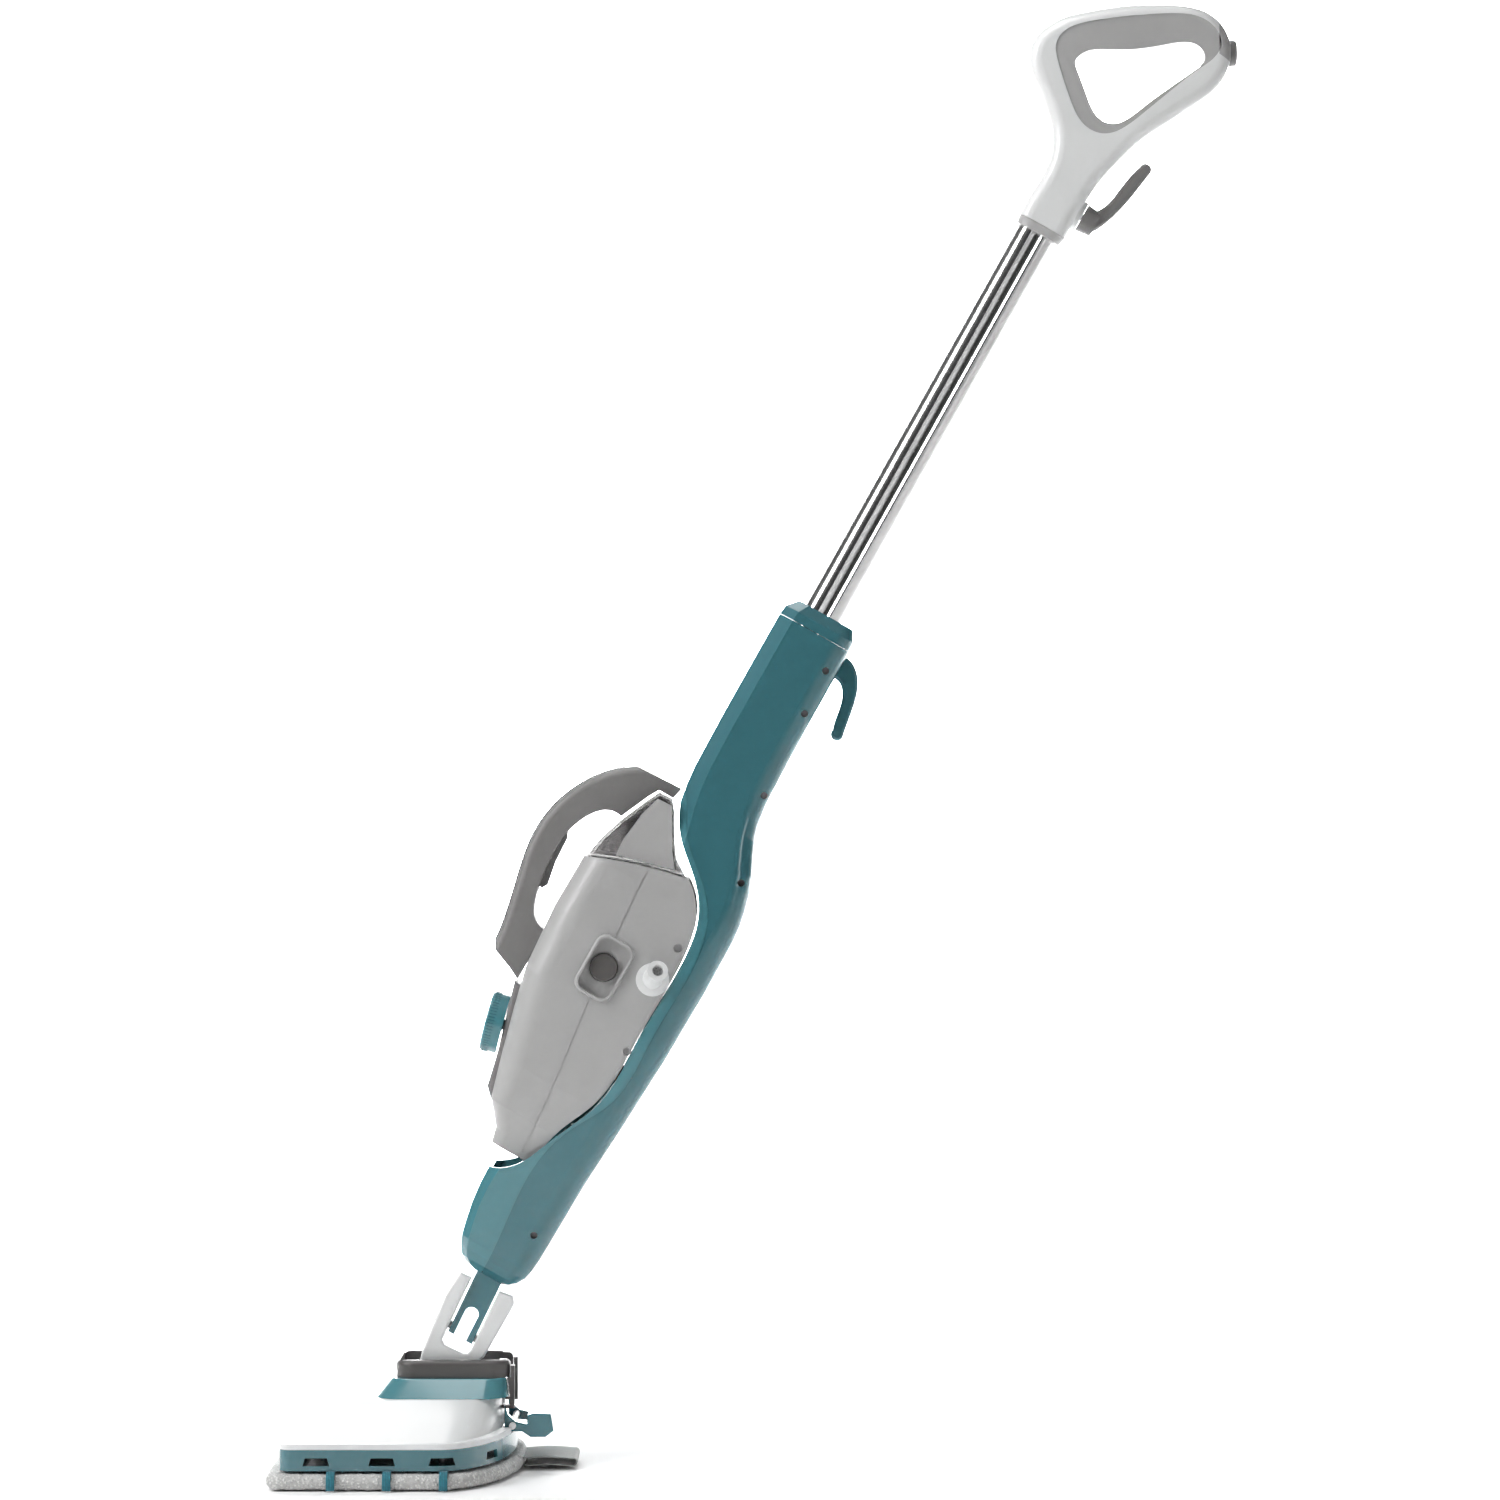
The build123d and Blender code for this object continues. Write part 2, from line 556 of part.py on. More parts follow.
with BuildPart() as button_recess:
    with BuildSketch(recess_at):
        RectangleRounded(RECESS_W + 4.9, RECESS_L + 4.9, 8.95)
    extrude(amount=8.6)
    with BuildSketch(recess_at.offset(2.0)):
        RectangleRounded(RECESS_W, RECESS_L, 7.0)
    extrude(amount=20, mode=Mode.SUBTRACT)
    with BuildSketch(facing(*BUTTON_AT, -30, 0, 0, -1)):
        Circle(BUTTON_R + 0.4)
    extrude(amount=20, mode=Mode.SUBTRACT)
    fillet(button_recess.faces().sort_by(Axis.Y)[0].outer_wire().edges(), 1.6)
save(button_recess, "button_recess")

with BuildPart() as hose_release_button:
    with BuildSketch(facing(*BUTTON_AT, -33.0, 0, 0, -1)):
        Circle(BUTTON_R)
    extrude(amount=9.0)
    fillet(hose_release_button.faces().sort_by(Axis.Y)[0].edges(), 1.2)
save(hose_release_button, "hose_release_button")

nozzle_plane = facing(NOZZLE_AT[0], NOZZLE_AT[1], -41.0, 0, 0.445, -1)
with BuildPart() as steam_nozzle:
    with BuildSketch(nozzle_root):
        Circle(9.5)
        Circle(3.0, mode=Mode.SUBTRACT)
    extrude(amount=12.1)
    with BuildSketch(nozzle_root.offset(12.1)):
        Circle(12.2)
        Circle(3.0, mode=Mode.SUBTRACT)
    extrude(amount=2.2)
    with BuildSketch(nozzle_plane):
        Circle(7.6)
    extrude(amount=21.0)
    with BuildSketch(nozzle_plane.offset(4.0)):
        Circle(4.1)
    extrude(amount=20.0, mode=Mode.SUBTRACT)
save(steam_nozzle, "steam_nozzle")

with BuildPart() as nozzle_jet_plate:
    with BuildSketch(nozzle_plane.offset(16.0)):
        Circle(4.0)
        with PolarLocations(2.4, 6):
            Circle(0.5, mode=Mode.SUBTRACT)
        Circle(0.5, mode=Mode.SUBTRACT)
    extrude(amount=2.4)
save(nozzle_jet_plate, "nozzle_jet_plate")

# ---- handle of the handheld unit, with its trigger ----
HANDLE_OUTER = [(-90.0, 288.0), (-100.0, 293.0), (-115.0, 299.0), (-118.0, 304.5)]
HANDLE_BOW = [(-118.0, 304.5), (-128.5, 362.0), (-132.0, 392.0), (-121.0, 434.0), (-97.0, 463.0)]
HANDLE_TOP = [(-97.0, 463.0), (-90.0, 468.0), (-53.0, 469.5), (-55.0, 460.5), (-67.0, 460.5),
              (-72.0, 452.0), (-82.0, 430.0)]
HANDLE_GAP = [(-82.0, 430.0), (-92.0, 429.5), (-104.0, 418.0), (-111.5, 397.0), (-112.0, 377.0),
              (-108.0, 348.0), (-100.5, 333.5), (-90.0, 329.5)]
HANDLE_HALF = 14.0
with BuildPart() as handle_bow:
    with BuildSketch(SIDE):
        with BuildLine():
            Polyline(*HANDLE_OUTER)
            Spline(*HANDLE_BOW)
            Polyline(*HANDLE_TOP)
            Spline(*HANDLE_GAP)
            Line(HANDLE_GAP[-1], HANDLE_OUTER[0])
        make_face()
    extrude(amount=HANDLE_HALF, both=True)
    fillet(handle_bow.faces().filter_by(Axis.Y).edges().sort_by(SortBy.LENGTH)[-2:], 6.0)
TRIGGER_PIVOT = (-118.0, 401.0)
TRIGGER_SHAPE = [(-121.5, 405.0), (-114.0, 408.5), (-108.8, 396.0), (-108.0, 377.0), (-104.8, 359.0),
                 (-107.5, 354.5), (-112.0, 357.0), (-116.0, 378.0)]
TRIGGER_WELL = [(-125.5, 413.0), (-96.0, 413.0), (-96.0, 350.0), (-118.5, 350.0), (-122.6, 378.0)]
SWITCH_AT = (-125.4, 385.0)
with BuildPart() as handle_soft_strip:
    with BuildSketch(SIDE):
        with BuildLine():
            proud = Spline(*[(t - 0.9, s) for t, s in HANDLE_BOW])
            sunk = Spline(*[(t + 1.2, s) for t, s in HANDLE_BOW])
            Line(proud @ 0, sunk @ 0)
            Line(proud @ 1, sunk @ 1)
        make_face()
    extrude(amount=7.0, both=True)
save(handle_soft_strip, "handle_soft_strip")

with BuildPart() as trigger_switch:
    with BuildSketch(SIDE):
        with Locations(SWITCH_AT):
            Rectangle(4.4, 12.0)
    extrude(amount=3.0, both=True)
save(trigger_switch, "trigger_switch")

with BuildPart() as steam_trigger:
    add(plate(TRIGGER_SHAPE, 5.0, edge=0.8))
    add(rod(at(*TRIGGER_PIVOT, -9), at(*TRIGGER_PIVOT, 9), 1.5), mode=Mode.SUBTRACT)
save(steam_trigger, "steam_trigger")

with BuildPart() as trigger_pin:
    add(rod(at(*TRIGGER_PIVOT, -8), at(*TRIGGER_PIVOT, 8), 1.45))
save(trigger_pin, "trigger_pin")

with BuildPart() as handheld_handle:
    add(handle_bow.part)
    add(handle_soft_strip.part, mode=Mode.SUBTRACT)
    add(plate(TRIGGER_WELL, 5.6), mode=Mode.SUBTRACT)
    add(trigger_switch.part, mode=Mode.SUBTRACT)
    add(trigger_pin.part, mode=Mode.SUBTRACT)
    add(body_space(0), mode=Mode.SUBTRACT)
save(handheld_handle, "handheld_handle")

# ---- dial and its panel ----
with BuildPart() as dial_panel:
    add(plate([(-91.0, 286.0), (-81.4, 252.0), (-76.5, 235.0), (-70.8, 209.0), (-64.0, 202.0),
               (-60.0, 207.0), (-60.0, 286.0)], 21.0, edge=3.0))
    add(body_space(0), mode=Mode.SUBTRACT)
    with BuildSketch(dial_at.offset(-20)):
        Circle(6.2)
    extrude(amount=40, mode=Mode.SUBTRACT)
save(dial_panel, "dial_panel")

with BuildPart() as steam_dial:
    with BuildSketch(dial_at.offset(1.0)):
        Circle(DIAL_R)
    extrude(amount=DIAL_T + 1.2)
    fillet(steam_dial.edges().sort_by(Axis(at(0, 0), dial_at.z_dir))[-1], 1.6)
    with BuildSketch(dial_at.offset(-16)):
        Circle(4.0)
    extrude(amount=19)
save(steam_dial, "steam_dial")

# ---- water tank ----
TANK_SIDE = [(-90.0, 393.2), (-87.0, 409.0), (-81.0, 427.0), (-71.0, 449.5), (-66.0, 459.5), (-55.0, 460.0),
             (-49.0, 452.0), (-40.0, 436.0), (-31.0, 423.0), (-19.0, 415.0), (-62.0, 404.2)]
TANK_HALF = 32.0
TANK_CAP_AT = (-62.0, 427.0)
with BuildPart() as water_tank:
    add(plate(TANK_SIDE, TANK_HALF, edge=5.0))
    with BuildSketch(SIDE):
        with BuildLine():
            Polyline(*TANK_SIDE, close=True)
        make_face()
        offset(amount=-2.0)
    extrude(amount=TANK_HALF - 2.0, both=True, mode=Mode.SUBTRACT)
    add(rod(at(*TANK_CAP_AT, 28), at(*TANK_CAP_AT, 35.5), 10.5))
    add(rod(at(*TANK_CAP_AT, 26), at(*TANK_CAP_AT, 37), 8.5), mode=Mode.SUBTRACT)
save(water_tank, "water_tank")

with BuildPart() as tank_side_panels:
    for side in (-1, 1):
        with BuildSketch(SIDE.offset(-side * TANK_HALF + (0.05 if side < 0 else -0.05))):
            with BuildLine():
                Polyline((-71.0, 404.0), (-72.0, 416.0), (-69.0, 440.0), (-64.5, 455.0), (-53.0, 455.5),
                         (-47.0, 445.0), (-36.0, 426.0), (-28.0, 415.5), close=True)
            make_face()
            if side > 0:
                with Locations(TANK_CAP_AT):
                    Circle(15.5, mode=Mode.SUBTRACT)
        extrude(amount=-side * 1.4)
save(tank_side_panels, "tank_side_panels")

with BuildPart() as tank_cap:
    with BuildSketch(facing(*TANK_CAP_AT, 33.0, 0, 0, 1)):
        Circle(14.0)
        with PolarLocations(14.6, 16):
            Circle(1.3, mode=Mode.SUBTRACT)
    extrude(amount=9.0)
    add(rod(at(*TANK_CAP_AT, 30), at(*TANK_CAP_AT, 39.0), 10.9), mode=Mode.SUBTRACT)
save(tank_cap, "tank_cap")

# ---- inside the handheld unit ----
BOILER_T = -42.0
with BuildPart() as boiler:
    add(rod(at(BOILER_T, 226, 8), at(BOILER_T, 292, 8), 19.0))
    fillet(boiler.edges(), 6.0)
    add(rod(at(BOILER_T, 230, 8), at(BOILER_T, 288, 8), 16.0), mode=Mode.SUBTRACT)
save(boiler, "boiler")

with BuildPart() as thermostat:
    add(rod(at(BOILER_T, 292, 8), at(BOILER_T, 296, 8), 9.0))
    add(rod(at(BOILER_T, 296, 8), at(BOILER_T, 301, 8), 6.5))
save(thermostat, "thermostat")

with BuildPart() as water_pump:
    with BuildSketch(across(352, -58, 4)):
        RectangleRounded(32, 30, 4)
    extrude(amount=20)
    add(rod(at(-58, 372, 4), at(-58, 388, 4), 9.0))
save(water_pump, "water_pump")

with BuildPart() as control_board:
    with BuildSketch(SIDE):
        with Locations((-10.0, 330.0)):
            Rectangle(1.6, 62.0)
    extrude(amount=21.0, both=True)
save(control_board, "control_board")

with BuildPart() as water_hose:
    with BuildLine() as hose_run:
        FilletPolyline(at(-58, 351.5, 4), at(-58, 332, 4), at(-68, 316, 10), at(-68, 302, 14), at(-42, 297, 22),
                       at(-42, 293, 22), radius=[5, 5, 4, 1.8])
    with BuildSketch(Plane(origin=hose_run.line @ 0, z_dir=hose_run.line % 0)):
        Circle(1.7)
        Circle(1.0, mode=Mode.SUBTRACT)
    sweep()
save(water_hose, "water_hose")

with BuildPart() as steam_spigot:
    add(rod(at(-23, SPIGOT_S), at(15.0, SPIGOT_S), SPIGOT_R, 2.6))
    add(rod(at(-23, SPIGOT_S), at(-4.0, SPIGOT_S), SPIGOT_R + 3, SPIGOT_R - 0.1))
save(steam_spigot, "steam_spigot")

with BuildPart() as cord_gland:
    with BuildSketch(facing(-50.0, 212.0, 28.0, 0, 0, 1)):
        Circle(7.0)
        Circle(3.6, mode=Mode.SUBTRACT)
    extrude(amount=14.0, taper=8)
save(cord_gland, "cord_gland")

with BuildPart() as handheld_screws:
    for t, s in BODY_SCREWS:
        for side in (-1, 1):
            add(rod(at(t, s, side * 37.2), at(t, s, side * 39.0), 3.0))
save(handheld_screws, "handheld_screws")

# ---- swivel joint: tongue on the wand, fork on the head ----
def hx(rel):
    """Row-frame X from the head pivot."""
    return PIVOT_X + rel


def level(z):
    """Horizontal plane at a height above the floor."""
    return Plane.XY.offset(z)


with BuildPart() as swivel_tongue:
    with BuildSketch(SIDE):
        with BuildLine():
            Polyline((-10.4, 128.0), (9.6, 128.0), (9.6, 85.0), (12.4, 36.5), (7.6, 36.5), (6.8, 55.0))
            ThreePointArc((6.8, 55.0), (1.6, 61.0), (-3.8, 55.0))
            Polyline((-3.8, 55.0), (-2.8, 36.5), (-7.4, 36.5), (-10.4, 85.0), (-10.4, 128.0))
        make_face()
    extrude(amount=TONGUE_HALF, both=True)
    add(rod(at(-30, SWING_S), at(30, SWING_S), 3.06), mode=Mode.SUBTRACT)
    add(rod(at(0, 60), at(0, 140), 4.4), mode=Mode.SUBTRACT)
save(swivel_tongue, "swivel_tongue")

NECK_SIDE = [(-13.0, 0.0), (-17.0, 15.0), (-20.0, 40.0), (-22.0, 60.0), (-20.8, 79.5), (-11.6, 80.0),
             (-8.8, 33.0), (-8.0, 29.5), (-5.0, 27.2), (9.5, 27.8), (13.0, 30.0), (13.9, 34.0), (10.8, 81.0), (21.5, 83.0),
             (25.5, 78.0), (25.0, 33.0), (14.0, 8.0), (13.0, 0.0)]
with BuildPart() as neck_fork:
    with BuildSketch(SIDE):
        with BuildLine():
            Polyline(*NECK_SIDE)
            ThreePointArc((13.0, 0.0), (0.0, -13.0), (-13.0, 0.0))
        make_face()
    extrude(amount=NECK_HALF, both=True)
    fillet(neck_fork.faces().filter_by(Axis.Y).edges(), 1.8)
    add(rod(PIVOT - Vector(0, 40, 0), PIVOT + Vector(0, 40, 0), PIN_R + 1.6), mode=Mode.SUBTRACT)
    add(rod(at(-30, SWING_S), at(30, SWING_S), 3.0), mode=Mode.SUBTRACT)
save(neck_fork, "neck_fork")

with BuildPart() as swing_pins:
    add(rod(at(-20.4, SWING_S), at(-3.4, SWING_S), 3.0))
    add(rod(at(8.0, SWING_S), at(25.3, SWING_S), 3.0))
save(swing_pins, "swing_pins")

with BuildPart() as pivot_bush:
    add(rod(PIVOT - Vector(0, NECK_HALF, 0), PIVOT + Vector(0, NECK_HALF, 0), PIN_R + 1.6, PIN_R + 0.06))
save(pivot_bush, "pivot_bush")

# ---- mop head ----
def d_outline(front, bend, rear, half, radius):
    """Head outline in plan: straight front and sides, rounded front corners, elliptical rear."""
    with BuildLine() as outline:
        Line((bend, -half), (front + radius, -half))
        RadiusArc((front + radius, -half), (front, -half + radius), radius)
        Line((front, -half + radius), (front, half - radius))
        RadiusArc((front, half - radius), (front + radius, half), radius)
        Line((front + radius, half), (bend, half))
        EllipticalCenterArc((bend, 0), rear - bend, half, start_angle=270, arc_size=180)
    return outline.line


def d_face(z, front, bend, rear, half, radius):
    """The head outline as a face at a height."""
    with BuildSketch(level(z)) as sketch:
        add(d_outline(front, bend, rear, half, radius))
        make_face()
    return sketch.sketch.faces()[0]


def d_block(z0, z1, front, bend, rear, half, radius):
    """The head outline as a solid between two heights."""
    with BuildPart() as body:
        extrude(d_face(z0, front, bend, rear, half, radius), amount=z1 - z0)
    return body.part


def boxed(x0, x1, y_half, z0, z1):
    """Box about the mid-plane, given by its limits."""
    with BuildPart() as body:
        with BuildSketch(level(z0)):
            with Locations(((x0 + x1) / 2, 0)):
                Rectangle(x1 - x0, 2 * y_half)
        extrude(amount=z1 - z0)
    return body.part


def d_frustum(z0, low, z1, high):
    """Loft between two head outlines."""
    with BuildPart() as body:
        loft([d_face(z0, *low), d_face(z1, *high)])
    return body.part


RIM = (PAD_FRONT + RIM_INSET + 3.0, PAD_BEND_X, PAD_REAR - RIM_INSET, PAD_HALF - RIM_INSET, 9.0)
PAD = (PAD_FRONT, PAD_BEND_X, PAD_REAR, PAD_HALF, 14.0)


def inset(outline, by):
    """Head outline drawn in on every side."""
    front, bend, rear, half, radius = outline
    return (front + by, bend, rear - by, half - by, max(radius - by, 1.5))


with BuildPart() as mop_pad:
    add(d_block(0, PAD_T, *PAD))
    fillet(mop_pad.faces().filter_by(Axis.Z).edges(), 4.5)
save(mop_pad, "mop_pad")

LOOP_XS = (hx(-65), hx(-25), hx(15.5))
with BuildPart() as pad_loops:
    for x in LOOP_XS:
        for side in (-1, 1):
            with BuildSketch(Plane(origin=(x, side * PAD_HALF, 0), x_dir=(0, side, 0), z_dir=(side, 0, 0))):
                with BuildLine():
                    Polyline((0.25, 1.0), (1.5, 1.0), (1.5, PAD_T + 0.75), (-9.5, PAD_T + 0.75),
                             (-9.5, PAD_T + 0.1), (0.25, PAD_T + 0.1), close=True)
                make_face()
            extrude(amount=3.5, both=True)
save(pad_loops, "pad_loops")

TAB_X1 = hx(109)
TAB_Z = 7.2
with BuildPart() as pad_pull_tab:
    with BuildSketch(Plane.XZ):
        with Locations(((PAD_REAR - 1.0 + TAB_X1) / 2 + 0.6, TAB_Z)):
            SlotOverall(TAB_X1 - PAD_REAR - 0.6, 10.4)
            SlotOverall(TAB_X1 - PAD_REAR - 3.4, 7.6, mode=Mode.SUBTRACT)
    extrude(amount=25, both=True)
    add(mop_pad.part, mode=Mode.SUBTRACT)
save(pad_pull_tab, "pad_pull_tab")

SLOT_XS = (hx(-76), hx(-29), hx(14))
RIM_SLOT_Z = RIM_Z0 + 6.4
REAR_SLOT_X = hx(48)
REAR_SLOT_Y = 80.0
with BuildPart() as head_base:
    add(d_block(RIM_Z0, RIM_Z1, *RIM))
    add(d_block(RIM_Z0 + 3.0, RIM_Z1 + 1, *inset(RIM, 3.0)), mode=Mode.SUBTRACT)
    with BuildSketch(Plane.XZ):
        for x in SLOT_XS:
            with Locations((x, RIM_SLOT_Z)):
                Trapezoid(19.0, 5.6, 74, 74)
    extrude(amount=PAD_HALF - RIM_INSET + 2, both=True, mode=Mode.SUBTRACT)
    for side in (-1, 1):
        with BuildSketch(Plane(origin=(REAR_SLOT_X, side * REAR_SLOT_Y, RIM_SLOT_Z),
                               x_dir=(-side * 0.384, 0.923, 0), z_dir=(0.923, side * 0.384, 0))):
            Trapezoid(19.0, 5.6, 74, 74)
        extrude(amount=7.0, both=True, mode=Mode.SUBTRACT)
    with BuildSketch(level(RIM_Z0)):
        with GridLocations(26, 34, 5, 6):
            Circle(1.6)
    extrude(amount=4, mode=Mode.SUBTRACT)
    with BuildSketch(level(RIM_Z0)):
        with Locations((hx(0), 0)):
            with GridLocations(0, 41.0, 1, 2):
                Rectangle(30, 6.5)
    extrude(amount=PIVOT_Z + 8 - RIM_Z0)
    add(rod(PIVOT - Vector(0, 40, 0), PIVOT + Vector(0, 40, 0), PIN_R + 0.02), mode=Mode.SUBTRACT)
save(head_base, "head_base")

with BuildPart() as pivot_pin:
    add(rod(PIVOT - Vector(0, PIVOT_PIN_HALF, 0), PIVOT + Vector(0, PIVOT_PIN_HALF, 0), PIN_R))
save(pivot_pin, "pivot_pin")

COVER_LOW = inset(RIM, 0.0)
COVER_FOOT = inset(RIM, 8.0)
COVER_HIGH = (hx(-72), hx(18), hx(53), 52.0, 20.0)
COVER_Z0 = RIM_Z1 + 0.2
FLANGE_T = 4.0
WELL_HALF = 24.4
SLOT_HALF = 17.4
with BuildPart() as cover_notch:
    add(boxed(hx(51.5), hx(90), 37.0, COVER_Z0 - 1, 80))
with BuildPart() as cover_notch_inner:
    add(boxed(hx(51.5 - WALL), hx(90), 37.0 + WALL, COVER_Z0 - 1, 80))
with BuildPart() as cover_form:
    add(d_block(COVER_Z0, COVER_Z0 + FLANGE_T, *COVER_LOW))
    add(d_frustum(COVER_Z0 + FLANGE_T, COVER_FOOT, COVER_TOP, COVER_HIGH))
    add(cover_notch.part, mode=Mode.SUBTRACT)
with BuildPart() as cover_hollow:
    add(d_block(COVER_Z0 - 1, COVER_Z0 + FLANGE_T, *inset(COVER_FOOT, WALL)))
    add(d_frustum(COVER_Z0 + FLANGE_T, inset(COVER_FOOT, WALL), COVER_TOP - WALL, inset(COVER_HIGH, WALL)))
    add(cover_notch_inner.part, mode=Mode.SUBTRACT)
well = boxed(hx(-23), hx(50), WELL_HALF, PIVOT_Z - 26, 100)
rear_slot = boxed(hx(20), hx(70), SLOT_HALF, PIVOT_Z - 20, 100)
with BuildPart() as head_cover:
    add(cover_form.part)
    add(cover_hollow.part, mode=Mode.SUBTRACT)
    add(well, mode=Mode.SUBTRACT)
    add(rear_slot, mode=Mode.SUBTRACT)
save(head_cover, "head_cover")

DOME_X = (hx(-40), hx(57))
DOME_TOP_X = (hx(-29), hx(55))
DOME_HALF = 46.0
DOME_TOP_HALF = 36.0
COLLAR_X = (hx(-26), hx(58))
COLLAR_HALF = 31.0


def oblong(z, xs, half, radius, inset_by=0.0):
    """Rounded rectangle in plan at a height, given by its X limits and half width."""
    with BuildSketch(level(z)) as sketch:
        with Locations(((xs[0] + xs[1]) / 2, 0)):
            RectangleRounded(xs[1] - xs[0] - 2 * inset_by, 2 * (half - inset_by), radius - inset_by)
    return sketch.sketch.faces()[0]


with BuildPart() as dome_hollow:
    loft([oblong(COVER_TOP - 0.1, DOME_X, DOME_HALF, 18.0, WALL),
          oblong(DOME_TOP - WALL, DOME_TOP_X, DOME_TOP_HALF, 14.0, WALL)])
with BuildPart() as head_dome:
    loft([oblong(COVER_TOP + 0.1, DOME_X, DOME_HALF, 18.0), oblong(DOME_TOP, DOME_TOP_X, DOME_TOP_HALF, 14.0)])
    fillet(head_dome.faces().sort_by(Axis.Z)[-1].edges(), 2.0)
    add(dome_hollow.part, mode=Mode.SUBTRACT)
    add(well, mode=Mode.SUBTRACT)
    add(rear_slot, mode=Mode.SUBTRACT)
save(head_dome, "head_dome")

with BuildPart() as head_collar:
    extrude(oblong(DOME_TOP + 0.1, COLLAR_X, COLLAR_HALF, 14.0), amount=COLLAR_TOP - DOME_TOP)
    fillet(head_collar.faces().sort_by(Axis.Z)[-1].edges(), 4.0)
    add(well, mode=Mode.SUBTRACT)
    add(rear_slot, mode=Mode.SUBTRACT)
save(head_collar, "head_collar")

with BuildPart() as steam_manifold:
    with BuildSketch(level(RIM_Z0 + 3.1)):
        RectangleRounded(90, 110, 12)
    extrude(amount=8.0)
    with BuildSketch(level(RIM_Z0 + 3.1)):
        RectangleRounded(85, 105, 10)
    extrude(amount=5.5, mode=Mode.SUBTRACT)
    with BuildSketch(level(RIM_Z0)):
        with Locations((hx(0), 0)):
            with GridLocations(0, 41.0, 1, 2):
                Rectangle(31, 7.5)
    extrude(amount=20, mode=Mode.SUBTRACT)
save(steam_manifold, "steam_manifold")

with BuildPart() as hook_strips:
    with BuildSketch(level(PAD_T + 0.1)):
        with GridLocations(60, 128, 2, 2):
            RectangleRounded(16, 60, 3)
    extrude(amount=0.85)
save(hook_strips, "hook_strips")

with BuildPart() as head_screws:
    with BuildSketch(level(RIM_Z0 + 3.1)):
        with GridLocations(70, 190, 2, 2):
            Circle(2.6)
    extrude(amount=9.0)
save(head_screws, "head_screws")

# ---- foot pedal ----
PEDAL_PIN = (60.0, -31.0)
PEDAL_SIDE = [(54.0, -16.0), (56.5, -23.0), (62.0, -28.0), (70.5, -30.0), (71.0, -23.5), (75.0, -22.0),
              (88.0, -22.5), (90.0, -35.0), (84.0, -39.5), (73.0, -39.5), (67.0, -35.5), (54.0, -35.0)]
PEDAL_HALF = 33.0
with BuildPart() as foot_pedal:
    add(plate(PEDAL_SIDE, PEDAL_HALF, plane=HEAD_SIDE, edge=1.0))
    add(boxed(hx(50), hx(70.8), PEDAL_HALF - 6.0, 0, 90), mode=Mode.SUBTRACT)
    with BuildSketch(HEAD_SIDE):
        with Locations(PEDAL_PIN):
            Circle(2.56)
    extrude(amount=50, both=True, mode=Mode.SUBTRACT)
save(foot_pedal, "foot_pedal")

with BuildPart() as pedal_pin:
    with BuildSketch(HEAD_SIDE):
        with Locations(PEDAL_PIN):
            Circle(2.5)
    extrude(amount=36.5, both=True)
save(pedal_pin, "pedal_pin")

with BuildPart() as collar_straps:
    for side in (-1, 1):
        with BuildSketch(HEAD_SIDE.offset(side * 23.0)):
            with BuildLine():
                Polyline((58.1, 12.0), (61.0, 12.0), (61.0, -19.5), (51.6, -19.5), (51.6, -17.3), (57.5, -17.3),
                         (57.5, -9.6), (55.9, 3.2), (58.1, 3.2), close=True)
            make_face()
        extrude(amount=2.7, both=True)
save(collar_straps, "collar_straps")
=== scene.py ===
"""Looks of the upright steam mop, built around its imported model.

Frame: +Z up, -X the front of the mop, -Y its left side, which faces the camera. Metres throughout.
"""

import json
from math import cos, pi, radians, sin

import bmesh
import bpy
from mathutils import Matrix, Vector, noise


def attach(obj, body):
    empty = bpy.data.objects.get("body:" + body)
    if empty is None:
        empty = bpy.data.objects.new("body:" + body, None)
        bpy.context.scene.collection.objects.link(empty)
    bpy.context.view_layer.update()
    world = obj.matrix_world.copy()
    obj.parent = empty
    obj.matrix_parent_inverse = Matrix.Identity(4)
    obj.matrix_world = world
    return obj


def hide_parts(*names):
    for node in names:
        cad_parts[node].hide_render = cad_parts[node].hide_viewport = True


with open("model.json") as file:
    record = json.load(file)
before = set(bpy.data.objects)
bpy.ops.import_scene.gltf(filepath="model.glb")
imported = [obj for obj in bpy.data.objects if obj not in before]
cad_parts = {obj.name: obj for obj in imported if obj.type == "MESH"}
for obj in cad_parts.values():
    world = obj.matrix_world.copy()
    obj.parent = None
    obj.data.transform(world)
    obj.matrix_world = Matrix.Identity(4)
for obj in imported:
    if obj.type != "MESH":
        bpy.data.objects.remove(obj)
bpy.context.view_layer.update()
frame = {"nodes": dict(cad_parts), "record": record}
nodes = frame["nodes"]

MM = 0.001
LEAN = radians(29.3)
PIVOT = Vector((0.022, 0.0, 0.065))
ACROSS = Vector((cos(LEAN), 0.0, -sin(LEAN)))
ALONG = Vector((sin(LEAN), 0.0, cos(LEAN)))


def at(t, s, y=0.0):
    """Point from wand coordinates in millimetres: t to the rear, s up the wand, y to the right side."""
    return PIVOT + ACROSS * (t * MM) + ALONG * (s * MM) + Vector((0, y * MM, 0))


